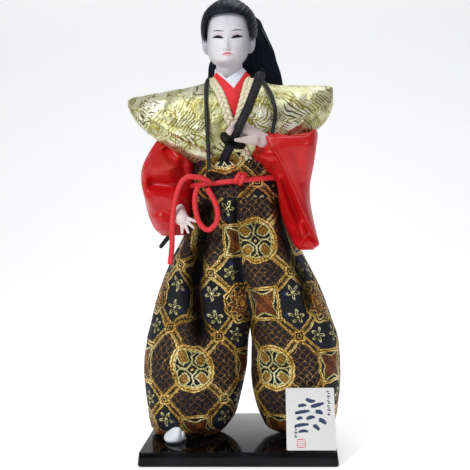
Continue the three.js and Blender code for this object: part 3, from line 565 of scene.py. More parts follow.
def brocadeMaterial():
    period = pattern["period"]
    material, tree, shader = newMaterial("goldJacquardBrocade", Specular_IOR_Level=0.35)
    raw = addNode(tree, "UVMap", uv_map="UVMap")
    wander = addNode(tree, "TexNoise", Vector=raw, Scale=9.0, Detail=2.0)
    shift = addNode(tree, "VectorMath SUBTRACT", wander.outputs["Color"], (0.5, 0.5, 0.5))
    place = addNode(tree, "VectorMath ADD", raw, addNode(tree, "VectorMath SCALE", shift, Scale=0.035))
    # weft steps give the drawn edges their woven look
    step = pattern["weftStep"] / period
    parts = addNode(tree, "SeparateXYZ", addNode(tree, "VectorMath SNAP", place, (step, step, 1.0)))
    folded = [addNode(tree, "Math PINGPONG", parts.outputs[k], 0.5) for k in (0, 1)]
    far = addNode(tree, "Math MAXIMUM", *folded)
    near = addNode(tree, "Math MINIMUM", *folded)
    spot = addNode(tree, "CombineXYZ", far, near)
    total = addNode(tree, "Math ADD", far, near)
    across = addNode(tree, "Math SUBTRACT", far, near)
    radius = addNode(tree, "VectorMath LENGTH", spot)
    # slanting hatch of the orange fillings, spaced along the weft
    steep = addNode(tree, "Math PINGPONG", addNode(tree, "Math MULTIPLY", addNode(
        tree, "Math ADD", parts.outputs[0], parts.outputs[1]), period / pattern["hatch"]), 0.5)
    # the threads' colours run from dark to pale by noise: random tone in broad patches, and painted glints, pale
    # specks standing in for highlights, in fine ones
    glint = addNode(tree, "TexNoise", Vector=raw, Scale=75.0, Detail=3.0, Roughness=0.75)
    patch = addNode(tree, "TexNoise", Vector=raw, Scale=5.0, Detail=2.0)
    shine = addNode(tree, "Math MULTIPLY_ADD", addNode(tree, "Math SUBTRACT", patch, 0.5), 0.5, glint)
    gold = addNode(tree, "ValToRGB", shine, stops=(
        (0.35, "#3a2608"), (0.43, "#ac7c22"), (0.52, "#ebbd4c"), (0.62, "#fff6b8")))
    pale = addNode(tree, "ValToRGB", shine, stops=(
        (0.34, "#5a5620"), (0.44, "#a69e58"), (0.55, "#dcd692"), (0.66, "#fffde6")))
    bronze = addNode(tree, "ValToRGB", shine, stops=(
        (0.34, "#2a180c"), (0.5, "#6e4a22"), (0.62, "#a47c44"), (0.76, "#e4c48c")))
    rust = addNode(tree, "ValToRGB", shine, stops=(
        (0.32, "#4c1e08"), (0.46, "#84401a"), (0.6, "#b06c2a"), (0.76, "#e8b060")))
    ochre = addNode(tree, "ValToRGB", shine, stops=(
        (0.32, "#563608"), (0.46, "#946a20"), (0.6, "#c89a40"), (0.76, "#f4d684")))
    gap = addNode(tree, "Math GREATER_THAN", steep, 0.24)
    orange, amber = (addNode(tree, "MixRGB", gap, srgb("#1c0c06"), thread) for thread in (rust, ochre))
    cloth = {"colour": addNode(tree, "MixRGB", glint, srgb("#040306"), srgb("#1a1017")),
             "metal": (0.05, 0.05, 0.05, 1)}

    def lay(value, *threads):
        # woven colours over what is there, as [limit, colour, metal], each wherever the value is under its limit
        for limit, colour, metal in threads:
            mask = addNode(tree, "Math LESS_THAN", value, limit)
            cloth["colour"] = addNode(tree, "MixRGB", mask, cloth["colour"], colour)
            cloth["metal"] = addNode(tree, "MixRGB", mask, cloth["metal"], (metal, metal, metal, 1))

    def aside(value, middle):
        return addNode(tree, "Math ABSOLUTE", addNode(tree, "Math SUBTRACT", value, middle))

    def waved(centre, count):
        # a wave that goes round a place this many times
        local = addNode(tree, "SeparateXYZ", addNode(tree, "VectorMath SUBTRACT", spot, centre))
        bearing = addNode(tree, "Math ARCTAN2", local.outputs[1], local.outputs[0])
        return addNode(tree, "Math COSINE", addNode(tree, "Math MULTIPLY", bearing, count))

    black, navy = srgb("#050407"), srgb("#070914")
    # thin diamond lattice, bowed like linked circles, spaced along the weft
    lattice = None
    for sign, opposite in (("ADD", "SUBTRACT"), ("SUBTRACT", "ADD")):
        slant = addNode(tree, "Math " + sign, parts.outputs[0], parts.outputs[1])
        other = addNode(tree, "Math " + opposite, parts.outputs[0], parts.outputs[1])
        bow = addNode(tree, "Math MULTIPLY", addNode(
            tree, "Math SINE", addNode(tree, "Math MULTIPLY", other, turn * period / pattern["bow"])), 0.09)
        line = addNode(tree, "Math PINGPONG", addNode(
            tree, "Math MULTIPLY_ADD", slant, period / pattern["lattice"], bow), 0.5)
        lattice = addNode(tree, "Math MINIMUM", lattice, line) if lattice else line
    lay(addNode(tree, "Math MAXIMUM", lattice, addNode(tree, "Math SUBTRACT", total, 0.44)), (0.06, bronze, 0.5))
    # navy cells with pairs of star flowers and a blue spot between
    lay(addNode(tree, "Math SUBTRACT", 1.0, total), (0.5, navy, 0.05))
    lay(addNode(tree, "VectorMath DISTANCE", spot, (0.42, 0.18, 0.0)), (0.02, srgb("#101d44"), 0.1))
    starAt, bloomAt = (0.405, 0.25, 0.0), (0.5, 0.5, 0.0)
    fromStar = addNode(tree, "VectorMath DISTANCE", spot, starAt)
    star = addNode(tree, "Math MULTIPLY_ADD", waved(starAt, 5.0), -0.026, fromStar)
    lay(star, (0.038, pale, 0.75), (0.021, srgb("#1c1e0c"), 0.2))
    lay(fromStar, (0.01, pale, 0.75))
    # bands: gold edges, a dark line inside each, gold and rust between, a dark core
    band = addNode(tree, "Math MULTIPLY", addNode(tree, "Math MINIMUM", aside(total, 0.5), across), 0.7071)
    lay(band, (0.03, gold, 0.62), (0.0215, black, 0.1), (0.0185, gold, 0.62), (0.0125, amber, 0.5),
        (0.004, black, 0.1))
    crossing = addNode(tree, "Math MAXIMUM", aside(far, 0.25), aside(near, 0.25))
    lay(crossing, (0.036, gold, 0.62), (0.027, black, 0.1), (0.018, gold, 0.62), (0.009, black, 0.1))
    # wavy octagon with a peony
    fromBloom = addNode(tree, "VectorMath DISTANCE", spot, bloomAt)
    rim = addNode(tree, "Math MULTIPLY_ADD", waved(bloomAt, 8.0), 0.009, fromBloom)
    lay(rim, (0.166, gold, 0.62), (0.152, black, 0.1), (0.139, gold, 0.6), (0.131, black, 0.1))
    bloom = waved(bloomAt, 12.0)
    for size, colour, metal in ((0.112, gold, 0.6), (0.103, orange, 0.4), (0.07, black, 0.1), (0.063, gold, 0.6),
                                (0.053, orange, 0.4), (0.024, gold, 0.62)):
        petals = addNode(tree, "Math MULTIPLY_ADD", bloom, -size * 0.16, fromBloom)
        lay(petals, (size, colour, metal))
    # gold-bordered square round a star with hollow sides
    sides = [aside(far, 0.5), near]
    square = addNode(tree, "Math MAXIMUM", *sides)
    lay(square, (0.132, gold, 0.62), (0.123, black, 0.1), (0.119, gold, 0.6), (0.107, black, 0.05))
    hollow = addNode(tree, "Math MULTIPLY_ADD", addNode(tree, "Math MINIMUM", *sides), -0.3, square)
    lay(hollow, (0.081, pale, 0.6), (0.071, orange, 0.45))
    # round medallion: ring, black disc, four hatched petals, and thin forked arms from a diamond
    lay(radius, (0.18, gold, 0.62), (0.167, amber, 0.5), (0.158, gold, 0.62), (0.143, black, 0.1),
        (0.14, pale, 0.6), (0.131, black, 0.05))
    petal = addNode(tree, "Math MAXIMUM", addNode(tree, "Math MULTIPLY", aside(total, 0.15), 0.7), across)
    petal = addNode(tree, "Math MULTIPLY_ADD", petal, 0.5, addNode(
        tree, "Math MULTIPLY", addNode(tree, "VectorMath DISTANCE", spot, (0.075, 0.075, 0.0)), 0.5))
    lay(petal, (0.05, pale, 0.6), (0.04, amber, 0.5))
    fork = addNode(tree, "Math SUBTRACT", near, addNode(tree, "Math MAXIMUM", addNode(
        tree, "Math MULTIPLY_ADD", far, 0.75, -0.072), 0.0))
    arms = addNode(tree, "Math MAXIMUM", addNode(tree, "Math ABSOLUTE", fork), addNode(
        tree, "Math MAXIMUM", addNode(tree, "Math SUBTRACT", radius, 0.1255), addNode(
            tree, "Math SUBTRACT", aside(far, 0.1), 0.0465)))
    lay(arms, (0.0055, pale, 0.6))
    lay(aside(total, 0.05), (0.0065, pale, 0.6))
    lay(total, (0.014, gold, 0.62))
    # gold threads stand proud over the hatch, and the cloth is a little creased
    crease = addNode(tree, "TexNoise", Vector=addNode(tree, "TexCoord").outputs["Object"], Scale=190.0, Detail=3.0)
    height = addNode(tree, "Math MULTIPLY_ADD", crease, 3.0, addNode(
        tree, "Math MULTIPLY_ADD", cloth["metal"], 0.6, addNode(tree, "Math MULTIPLY", steep, 0.5)))
    bump = addNode(tree, "Bump", 0.7, 0.0006, Height=height)
    rough = addNode(tree, "MapRange", cloth["metal"], 0.0, 1.0, 0.72, 0.3)
    # painted shade: the cloth is painted darker inside its deep folds, from the paint attribute
    foldShadePaint = addNode(tree, "Attribute", attribute_name="paint")
    colour = addNode(tree, "MixRGB", 1.0, cloth["colour"], foldShadePaint.outputs["Color"], blend_type="MULTIPLY")
    metal = addNode(tree, "Math MULTIPLY", cloth["metal"], foldShadePaint.outputs["Fac"])
    wire(tree, shader, Base_Color=colour, Metallic=metal, Roughness=rough, Normal=bump)
    return material


goldBrocade = brocadeMaterial()


# Ivory lurex brocade: pale green-gold ground, leaves outlined and feathered in olive gold
def vestMaterial():
    material, tree, shader = newMaterial("ivoryLurexBrocade", Specular_IOR_Level=0.6)
    spot = addNode(tree, "TexCoord").outputs["Object"]
    bend = addNode(tree, "TexNoise", Vector=spot, Scale=70.0, Detail=1.0)
    away = addNode(tree, "VectorMath SCALE", addNode(
        tree, "VectorMath SUBTRACT", bend.outputs["Color"], (0.5, 0.5, 0.5)), Scale=0.012)
    bent = addNode(tree, "VectorMath ADD", spot, away)
    # leaves about 12 mm long, slanting across the cloth
    slant = addNode(tree, "Mapping", Vector=bent, Rotation=(0.0, 0.7, 0.0), Scale=(1.0, 0.4, 1.9))
    edge = addNode(tree, "TexVoronoi", Vector=slant, Scale=82.0, feature="DISTANCE_TO_EDGE")
    leaf = addNode(tree, "TexVoronoi", Vector=slant, Scale=82.0)
    kind = addNode(tree, "SeparateXYZ", leaf.outputs["Color"])
    # feathering inside a leaf, one way or the other: a line every 2.1 mm, coarser than it is so that it shows
    lines = [addNode(tree, "TexWave", Vector=addNode(tree, "Mapping", Vector=bent, Rotation=(0.0, lean, 0.0)),
                     Scale=150.0, Distortion=0.4) for lean in (0.9, -0.7)]
    picked = addNode(tree, "MixRGB", addNode(tree, "Math GREATER_THAN", kind.outputs[2], 0.5),
                     *[line.outputs["Color"] for line in lines])
    feather = addNode(tree, "Math MULTIPLY", addNode(tree, "Math LESS_THAN", picked, 0.34),
                      addNode(tree, "Math LESS_THAN", edge, 0.22))
    goldLeaf = addNode(tree, "Math GREATER_THAN", kind.outputs[1], 0.42)
    outline = addNode(tree, "Math MULTIPLY", addNode(tree, "Math LESS_THAN", edge, 0.03), goldLeaf)
    sprig = addNode(tree, "Math MULTIPLY", feather, addNode(tree, "Math GREATER_THAN", kind.outputs[0], 0.74))
    patch = addNode(tree, "TexNoise", Vector=spot, Scale=55.0, Detail=2.0)
    colour = addNode(tree, "ValToRGB", patch, stops=((0.34, "#a6a678"), (0.5, "#cfcfa2"), (0.64, "#eeedd6")))
    for mask, code in ((outline, "#8f8430"), (addNode(tree, "Math MULTIPLY", feather, goldLeaf), "#918632"),
                       (sprig, "#5a551f")):
        colour = addNode(tree, "MixRGB", mask, colour, srgb(code))
    # crumpled foil threads: facets about 5 mm wide over a twill of 0.6 mm
    facets = addNode(tree, "TexVoronoi", Vector=bent, Scale=210.0)
    fine = addNode(tree, "TexNoise", Vector=spot, Scale=900.0, Detail=2.0)
    twill = addNode(tree, "TexWave", Vector=spot, Scale=520.0, bands_direction="DIAGONAL")
    relief = addNode(tree, "Math ADD", addNode(tree, "Math MULTIPLY", facets, 1.3), fine)
    relief = addNode(tree, "Math MULTIPLY_ADD", twill.outputs["Fac"], 0.3, relief)
    bump = addNode(tree, "Bump", 0.5, 0.0006, Height=relief)
    rough = addNode(tree, "MapRange", fine, 0.3, 0.7, 0.26, 0.46)
    metal = addNode(tree, "MapRange", sprig, 0.0, 1.0, 0.7, 0.4)
    wire(tree, shader, Base_Color=colour, Metallic=metal, Roughness=rough, Normal=bump)
    return material


ivoryBrocade = vestMaterial()


# Cord of rayon round a cotton core: the UV runs round it once, and along it once in 10 mm
def cordMaterial(name, deep, light, roughness, sheen, gap=0.0, crossingShade=0.32):
    # gap is painted shade on both sides of a flat strand, where it meets the next; the last number is how strongly the
    # braid's crossings are painted lighter and darker, as light and shade
    material, tree, shader = newMaterial(name, Sheen_Weight=0.1, Sheen_Roughness=0.4, Sheen_Tint=srgb(sheen))
    spot = addNode(tree, "SeparateXYZ", addNode(tree, "UVMap", uv_map="UVMap"))
    # the braid's crossings, painted lighter and darker as light and shade: three round the cord and checkered every
    # 1.7 mm, and filaments a fifth of that
    braid = addNode(tree, "Math MULTIPLY", *[addNode(tree, "Math SINE", addNode(
        tree, "Math MULTIPLY", spot.outputs[k], count)) for k, count in ((0, turn * 3), (1, turn / 0.17))])
    strand = addNode(tree, "Math SINE", addNode(tree, "Math MULTIPLY", addNode(
        tree, "Math ADD", spot.outputs[0], spot.outputs[1]), turn * 30))
    fluff = addNode(tree, "TexNoise", Vector=addNode(tree, "TexCoord").outputs["Object"], Scale=1500.0)
    shade = addNode(tree, "Math MULTIPLY_ADD", braid, crossingShade, fluff)
    # painted shade along both edges of each flat strand, as strong as gap
    side = addNode(tree, "Math COSINE", addNode(tree, "Math MULTIPLY", spot.outputs[0], turn * 2))
    side = addNode(tree, "MapRange", side, 0.0, 0.85, 0.0, gap)
    colour = addNode(tree, "MixRGB", side, addNode(tree, "MixRGB", shade, srgb(deep), srgb(light)), srgb("#3a3018"))
    height = addNode(tree, "Math MULTIPLY_ADD", strand, 0.25, fluff)
    bump = addNode(tree, "Bump", 0.3, 0.0002, Height=height)
    wire(tree, shader, Base_Color=colour, Normal=bump)
    shader.inputs["Roughness"].default_value = roughness
    return material


redRayonCord = cordMaterial("redRayonCord", "#b40a16", "#f4343e", 0.5, "#ffb0b8", crossingShade=0.5)
blackCottonCord = cordMaterial("blackCottonCord", "#060608", "#1c1c22", 0.65, "#5a5a62")
goldBraid = cordMaterial("goldCreamBraid", "#cbb981", "#fffbe6", 0.34, "#fff6d8", 0.85, 0.06)


# Lacquer, horn and metal: dark, smooth, with faint dust that dulls the gloss in places
def lacquerMaterial(name, code, roughness, metallic=0.0, grain=0.0):
    material, tree, shader = newMaterial(name, Metallic=metallic, Specular_IOR_Level=0.17)
    spot = addNode(tree, "TexCoord").outputs["Object"]
    dust = addNode(tree, "TexNoise", Vector=spot, Scale=60.0, Detail=6.0)
    rough = addNode(tree, "MapRange", dust, 0.35, 0.75, roughness, roughness + 0.12)
    tint = addNode(tree, "MixRGB", addNode(tree, "MapRange", dust, 0.4, 0.8, 0.0, 0.35), srgb(code), srgb("#2a2a32"))
    fine = addNode(tree, "TexNoise", Vector=spot, Scale=1400.0)
    bump = addNode(tree, "Bump", grain, 0.0002, Height=fine)
    wire(tree, shader, Base_Color=tint, Roughness=rough, Normal=bump)
    return material


blackLacquer = lacquerMaterial("blackUrethaneLacquer", "#040405", 0.07)
scabbardLacquer = lacquerMaterial("satinBlackLacquer", "#111119", 0.32, grain=0.25)
guardMetal = lacquerMaterial("blackenedBrass", "#0d0e13", 0.24, 0.5, 0.15)
beadGlass = lacquerMaterial("blackGlass", "#060608", 0.06)


# Gofun: polished shell-white over moulded resin, with the painter's colours and painted shade in the paint attribute
def gofunMaterial():
    material, tree, shader = newMaterial(
        "paintedGofun", Subsurface_Weight=0.04, Subsurface_Scale=0.002, Subsurface_Radius=(1.0, 0.5, 0.35),
        Specular_IOR_Level=0.22)
    paint = addNode(tree, "Attribute", attribute_name="paint")
    spot = addNode(tree, "TexCoord").outputs["Object"]
    mottle = addNode(tree, "TexNoise", Vector=spot, Scale=220.0, Detail=3.0)
    tone = addNode(tree, "MixRGB", mottle, srgb("#f2edee"), srgb("#ffffff"))
    colour = addNode(tree, "MixRGB", 1.0, paint.outputs["Color"], tone, blend_type="MULTIPLY")
    fine = addNode(tree, "TexNoise", Vector=spot, Scale=900.0)
    bump = addNode(tree, "Bump", 0.06, 0.0002, Height=fine)
    rough = addNode(tree, "MapRange", mottle, 0.3, 0.7, 0.36, 0.46)
    wire(tree, shader, Base_Color=colour, Roughness=rough, Normal=bump)
    return material


paintedGofun = gofunMaterial()


# Combed rayon hair: strands run away from the knot at the back of the crown
def hairMaterial(name, centre, axis):
    material, tree, shader = newMaterial(name, Specular_IOR_Level=0.32, Specular_Tint=srgb("#c4d2f4"))
    spot = addNode(tree, "TexCoord").outputs["Object"]
    local = addNode(tree, "VectorMath SUBTRACT", spot, tuple(c / 1000 for c in centre))
    toward = Vector(axis).normalized()
    side = toward.orthogonal().normalized()
    across, over, along = (addNode(tree, "VectorMath DOT_PRODUCT", local, tuple(way)) for way in
                           (side, toward.cross(side), toward))
    bearing = addNode(tree, "Math ARCTAN2", over, across)
    cells = addNode(tree, "CombineXYZ", bearing, addNode(tree, "Math MULTIPLY", along, 12.0), 0.0)
    # strands of about 0.4 mm, drawn coarser than the real fibre
    strands = addNode(tree, "TexNoise", Vector=addNode(
        tree, "Mapping", Vector=cells, Scale=(28.0, 1.0, 1.0)), Scale=1.6, Detail=5.0, Roughness=0.7)
    tint = addNode(tree, "ValToRGB", strands, stops=((0.4, "#010102"), (0.62, "#040407"), (0.8, "#171b26")))
    bump = addNode(tree, "Bump", 0.5, 0.0006, Height=strands)
    rough = addNode(tree, "MapRange", strands, 0.3, 0.7, 0.34, 0.55)
    wire(tree, shader, Base_Color=tint, Roughness=rough, Normal=bump)
    return material


# Printed card: uncoated board, faint fibres
def cardMaterial(name, code, second):
    material, tree, shader = newMaterial(name, Specular_IOR_Level=0.3)
    spot = addNode(tree, "TexCoord").outputs["Object"]
    fibre = addNode(tree, "TexNoise", Vector=addNode(
        tree, "Mapping", Vector=spot, Scale=(1.0, 1.0, 4.0)), Scale=500.0, Detail=4.0)
    colour = addNode(tree, "MixRGB", fibre, srgb(code), srgb(second))
    rough = addNode(tree, "MapRange", fibre, 0.3, 0.7, 0.55, 0.75)
    bump = addNode(tree, "Bump", 0.1, 0.0002, Height=fibre)
    wire(tree, shader, Base_Color=colour, Roughness=rough, Normal=bump)
    return material


whiteCard = cardMaterial("uncoatedBoard", "#d4d3d2", "#eae9e8")
navyInk = cardMaterial("navyPrintInk", "#26344e", "#3d4c68")
stampInk = cardMaterial("vermilionStampInk", "#c8545c", "#dc7a7e")


# Hilt binding: flat cotton tape crossed over ray skin, matte blue-black
def bindingMaterial():
    material, tree, shader = newMaterial("crossedCottonTape", Specular_IOR_Level=0.35, Sheen_Weight=0.05)
    spot = addNode(tree, "SeparateXYZ", addNode(tree, "UVMap", uv_map="UVMap"))
    # ribs of the tape, about 0.6 mm apart, along its slant
    ribs = addNode(tree, "Math SINE", addNode(tree, "Math MULTIPLY", addNode(
        tree, "Math ADD", spot.outputs[0], spot.outputs[1]), turn * 14))
    speck = addNode(tree, "TexNoise", Vector=addNode(tree, "TexCoord").outputs["Object"], Scale=420.0, Detail=2.0)
    tint = addNode(tree, "ValToRGB", speck, stops=((0.4, "#040508"), (0.58, "#0b0c13"), (0.76, "#262236")))
    bump = addNode(tree, "Bump", 0.4, 0.0003, Height=addNode(tree, "Math MULTIPLY_ADD", ribs, 0.4, speck))
    wire(tree, shader, Base_Color=tint, Normal=bump)
    shader.inputs["Roughness"].default_value = 0.55
    return material


hiltBinding = bindingMaterial()
print("materials made")


# Cords. Their routes are the same as the solids', in millimetres
redCord = {"diameter": 3.4, "twist": 4.6, "relief": 0.11}
blackCord = {"diameter": 2.5, "twist": 4.0, "relief": 0.1}
beltLoop = [
    (-22.6, -31.6, 175), (-24.4, -32.2, 169), (-24.2, -32.9, 160), (-21.4, -33.6, 151.4), (-16.6, -34, 147.4),
    (-11.8, -34, 150.6), (-10, -33.8, 157.4), (-12, -32.8, 165.6), (-16.4, -31.4, 173.6),
]
beltTail = [
    (-15.6, -29.4, 178.4), (-19.6, -31.2, 180.2), (-24.4, -32.2, 181.2), (-28, -33, 181.4), (-31.8, -33, 179.4),
    (-35.4, -32.6, 172.6), (-37.9, -32.4, 163), (-38.9, -33.6, 154.6), (-39.2, -35.2, 146.6), (-39.6, -35.6, 136.6),
    (-41, -35, 126),
]
neckCord = [
    (25.3, -31.8, 205.6), (26.6, -31.2, 212.6), (27.7, -29.4, 220.6), (26.4, -26, 229.4), (23, -19.4, 238.2),
    (18.4, -9.8, 245), (13.4, 0.6, 248.2), (7, 8.4, 249.8), (-2, 12, 250.8), (-10.4, 8.2, 249.8),
    (-15.2, 0.6, 248.4), (-16.6, -10.4, 246.2), (-17, -19.4, 240.4), (-16.6, -26.2, 232.2), (-16, -30.6, 220),
    (-15.6, -31.8, 208), (-15.3, -31.2, 196), (-15.3, -30.2, 185.6),
]
neckCordEnd = [(-14.8, -28.9, 172.4), (-13, -29.6, 166), (-9.6, -30.4, 159.6), (-5.8, -30.6, 152.6)]


def ropeMesh(path, cord, up=None, joined=False):
    # a round braid: two families of three strands cross
    def section(angle, distance):
        slide = turn * distance / cord["twist"]
        over = max(math.cos(3 * angle + slide), math.cos(3 * angle - slide))
        size = cord["diameter"] / 2 * (1 - cord["relief"] + cord["relief"] * 1.35 * abs(over))
        return size * math.cos(angle), size * math.sin(angle)

    return sweepMesh(path, 20, section, up, joined)


def addCord(name, route, cord, material, replaced, slot):
    # the cord's piece, every eighth place of its route in metres, and its length in metres
    path = smoothPath(route, 0.45)
    piece = addPiece(name, ropeMesh(path, cord), material, replaced, slot, sharp=80)
    return piece, [tuple(spot / 1000) for spot in path[::8]] + [tuple(path[-1] / 1000)], pathLength(path) / 1000


loopPiece, loopPath, loopLength = addCord(
    "beltLoop", beltLoop, redCord, redRayonCord, ["belt_loop"], "red_braid")
tailPiece, tailPath, tailLength = addCord(
    "beltTail", beltTail, redCord, redRayonCord, ["belt_tail"], "red_braid")
neckPiece, neckPath, neckLength = addCord(
    "neckCord", neckCord, blackCord, blackCottonCord, ["neck_cord"], "black_braid")
endPiece, _, _ = addCord(
    "neckCordEnd", neckCordEnd, blackCord, blackCottonCord, ["neck_cord_end"], "black_braid")

bead = {"place": (-15.3, -29.9, 182.8), "radius": 2.1, "hole": 0.9}


def beadMesh():
    # a turned bead with a bored hole, as a profile spun round the cord
    bm = bmesh.new()
    profile = []
    rim = math.asin(bead["hole"] / bead["radius"])
    for k in range(13):
        angle = rim + (math.pi - 2 * rim) * k / 12
        profile.append(bm.verts.new((bead["radius"] * math.sin(angle), 0, bead["radius"] * math.cos(angle))))
    edges = [bm.edges.new(pair) for pair in zip(profile, profile[1:] + profile[:1])]
    bmesh.ops.spin(bm, geom=profile + edges, cent=(0, 0, 0), axis=(0, 0, 1), angle=turn, steps=32, use_merge=True)
    bmesh.ops.remove_doubles(bm, verts=bm.verts, dist=1e-4)
    bmesh.ops.recalc_face_normals(bm, faces=bm.faces)
    bmesh.ops.translate(bm, verts=bm.verts, vec=bead["place"])
    return bm


beadPiece = addPiece("cordBead", beadMesh(), beadGlass, ["cord_bead"], "bead_black")
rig.cord(loopPiece, exit=loopPath[0], length=round(loopLength, 3), diameter=0.0034, far_end="object",
        stiffness="medium", lay="hanging", path=loopPath)
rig.cord(tailPiece, exit=tailPath[0], length=round(tailLength, 3), diameter=0.0034, far_end="bare",
        stiffness="medium", lay="hanging", path=tailPath)
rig.cord(neckPiece, exit=neckPath[0], length=round(neckLength, 3), diameter=0.0025, far_end="fitting",
        stiffness="medium", lay="hanging", path=neckPath, with_pieces=[beadPiece, endPiece])
print("cords made")


# Plinth: a lacquered board with a slight draft and rounded edges
plinth = {"width": 124, "depth": 96, "height": 9, "draft": 1, "corner": 2.5, "foot": 1.5, "edge": 0.6}


def plinthMesh():
    bm = boardMesh(plinth["width"], plinth["depth"], plinth["height"])
    bmesh.ops.translate(bm, verts=bm.verts, vec=(0, 0, plinth["height"] / 2))
    for v in bm.verts:
        if v.co.z < 1:
            v.co.x += math.copysign(plinth["draft"], v.co.x)
            v.co.y += math.copysign(plinth["draft"], v.co.y)
    roundEdges(bm, isUpright, plinth["corner"], 8)
    roundEdges(bm, lambda edge: isRim(edge) and edge.verts[0].co.z < 1, plinth["foot"], 4)
    roundEdges(bm, lambda edge: isRim(edge) and edge.verts[0].co.z > plinth["height"] - 1, plinth["edge"], 3)
    return bm


addPiece("plinth", plinthMesh(), blackLacquer, ["base"], "base_gloss", sharp=35)


# Name plate: a card that leans back on the trouser leg, printed with rows of plain brush strokes
plate = {"width": 30.6, "length": 38.4, "thickness": 2.4, "corner": 1, "edge": 0.25, "lean": 22, "x": 46,
         "foot": -46.2, "sole": 9.3}


def onPlate(bm):
    # from the card's own plane, its foot at the origin, to where it stands
    lean = math.radians(90 - plate["lean"])
    lift = plate["thickness"] / 2 * math.sin(math.radians(plate["lean"]))
    foot = Matrix.Translation((plate["x"], plate["foot"], plate["sole"] + lift))
    bm.transform(foot @ Matrix.Rotation(lean, 4, "X"))
    return bm


def plateMesh():
    bm = boardMesh(plate["width"], plate["length"], plate["thickness"])
    roundEdges(bm, isUpright, plate["corner"], 5)
    roundEdges(bm, isRim, plate["edge"], 2)
    bmesh.ops.translate(bm, verts=bm.verts, vec=(0, plate["length"] / 2, 0))
    return onPlate(bm)


def strokeMesh(route, width, height=0.14):
    # one brush stroke of ink: a flat pad that swells and thins along its route
    path = smoothPath([(x, y, plate["thickness"] / 2) for x, y in route], 0.4)
    total = pathLength(path)

    def section(angle, distance):
        share = distance / total
        wide = width / 2 * (0.35 + 0.65 * math.sin(math.pi * min(share * 0.85 + 0.15, 1)) ** 0.6)
        wide *= 1 + 0.15 * noise.noise(Vector((distance, route[0][0], route[0][1])))
        return wide * math.cos(angle), height * math.sin(angle)

    return sweepMesh(path, 8, section, up=(0, 0, 1))


# six slanting rows of heavy strokes that never cross, so they spell nothing
brushStrokes = [
    ([(-2.6, 31.4), (0.8, 30), (3.2, 30.2)], 1.9), ([(-7.6, 27), (-4.2, 27.6), (-2.4, 27.4)], 1.7),
    ([(0.4, 26.6), (4.4, 27.6), (8.6, 28.8)], 2.0), ([(-9.6, 22.6), (-5.6, 23.4), (-0.4, 24)], 1.8),
    ([(3.2, 23.6), (6, 23.2), (7.6, 22.2)], 2.1), ([(-8.6, 18.8), (-6.4, 19.8), (-5, 19.4)], 1.6),
    ([(-2.6, 19), (0.6, 20.2), (2.8, 20)], 1.8), ([(5.2, 18.8), (7.4, 17.8), (9.6, 16)], 2.2),
    ([(-10, 14.6), (-6, 15.4), (-1.2, 15.8)], 1.7), ([(1.6, 15.2), (3.6, 14), (5.2, 12.2)], 2.0),
    ([(-7.6, 11.2), (-4.2, 11.8), (-1.6, 11.2)], 1.6),
]
smallStrokes = [([(10.6 + k % 2 * 0.6, y), (12 + k % 3 * 0.4, y - 0.4)], 0.7) for k, y in enumerate(
    (36.2, 34.9, 33.2, 31.9, 30.2, 28.9, 27.2, 25.9, 24.6, 22.9, 21.8))]
smallStrokes += [([(-10.4 + k % 2 * 0.5, y), (-9 + k % 3 * 0.4, y - 0.4)], 0.7) for k, y in enumerate(
    (14.2, 12.6, 11, 9.6, 8.4))]
stampStrokes = [([(-8.6, y), (-3.8, y)], 0.6) for y in (6.6, 1.8)]
stampStrokes += [([(x, 2.1), (x, 6.3)], 0.6) for x in (-8.6, -3.8)]
stampStrokes += [([(start, y), (end, y)], 0.55) for start, end in ((-7.7, -6.5), (-5.7, -4.6)) for y in (5.4, 4.2, 3)]
addPiece("namePlate", plateMesh(), whiteCard, ["name_plate"], "plate_card", sharp=35)
navyMarks = joinMeshes([strokeMesh(route, wide * 1.25) for route, wide in brushStrokes + smallStrokes])
addPiece("plateBrushwork", onPlate(navyMarks), navyInk, [], "plate_card")
stampMarks = joinMeshes([strokeMesh(route, wide) for route, wide in stampStrokes])
addPiece("plateStamp", onPlate(stampMarks), stampInk, [], "plate_card")
print("plinth and plate made")


# Split-toe socks: the big toe is set off by a cleft
feet = {"right": -41.6, "left": 43.5, "sole": 9.3, "height": 10.7, "power": 2.3, "toes": -12, "lean": 3.6,
        "flare": 1.4, "cleft": 4.2, "cleftDeep": (1.6, 1.1), "toeDrop": 0.7}
footLevels = [
    [0, 8, -29.4, 20], [1.4, 8.8, -31.4, 21], [3.8, 8.4, -31.2, 21], [6.2, 7.5, -29.6, 20], [8.4, 6, -27.2, 19],
    [10, 4, -24.4, 17], [10.7, 2.2, -20, 12],
]


def sockMesh(x, inward, across=120, along=48):
    # inward is the side of the foot, 1 or -1, that the toes lean to
    at = smoothRows([[z + feet["sole"], x - half, x + half, front, back] for z, half, front, back in footLevels])
    back, down = feet["cleftDeep"]

    def place(i, j):
        z = feet["sole"] + feet["height"] * (j / along) ** 1.2
        spot = levelPoint(at(z), z, i / across * turn, feet["power"])
        toward = min(max(0, (feet["toes"] - spot.y) / 12), 1)
        spot.x += inward * (feet["lean"] * ease(z, feet["sole"], 20) - feet["flare"]) * toward
        cleft = bell(spot.x - (x + inward * feet["cleft"]), 0.7) * toward
        spot.y += back * cleft
        spot.z -= down * cleft * ease(z, 10, 13)
        bigToe = ease(inward * (spot.x - x), feet["cleft"] - 1, feet["cleft"] + 3)
        spot.z -= feet["toeDrop"] * toward * bigToe * ease(z, 10, 16)
        spot.z = max(spot.z, feet["sole"])
        return spot

    return gridMesh(across, along, place)


addPiece("rightSock", sockMesh(feet["right"], 1), tabiCotton, ["right_foot"], "sock_cloth")
addPiece("leftSock", sockMesh(feet["left"], -1), tabiCotton, ["left_foot"], "sock_cloth")


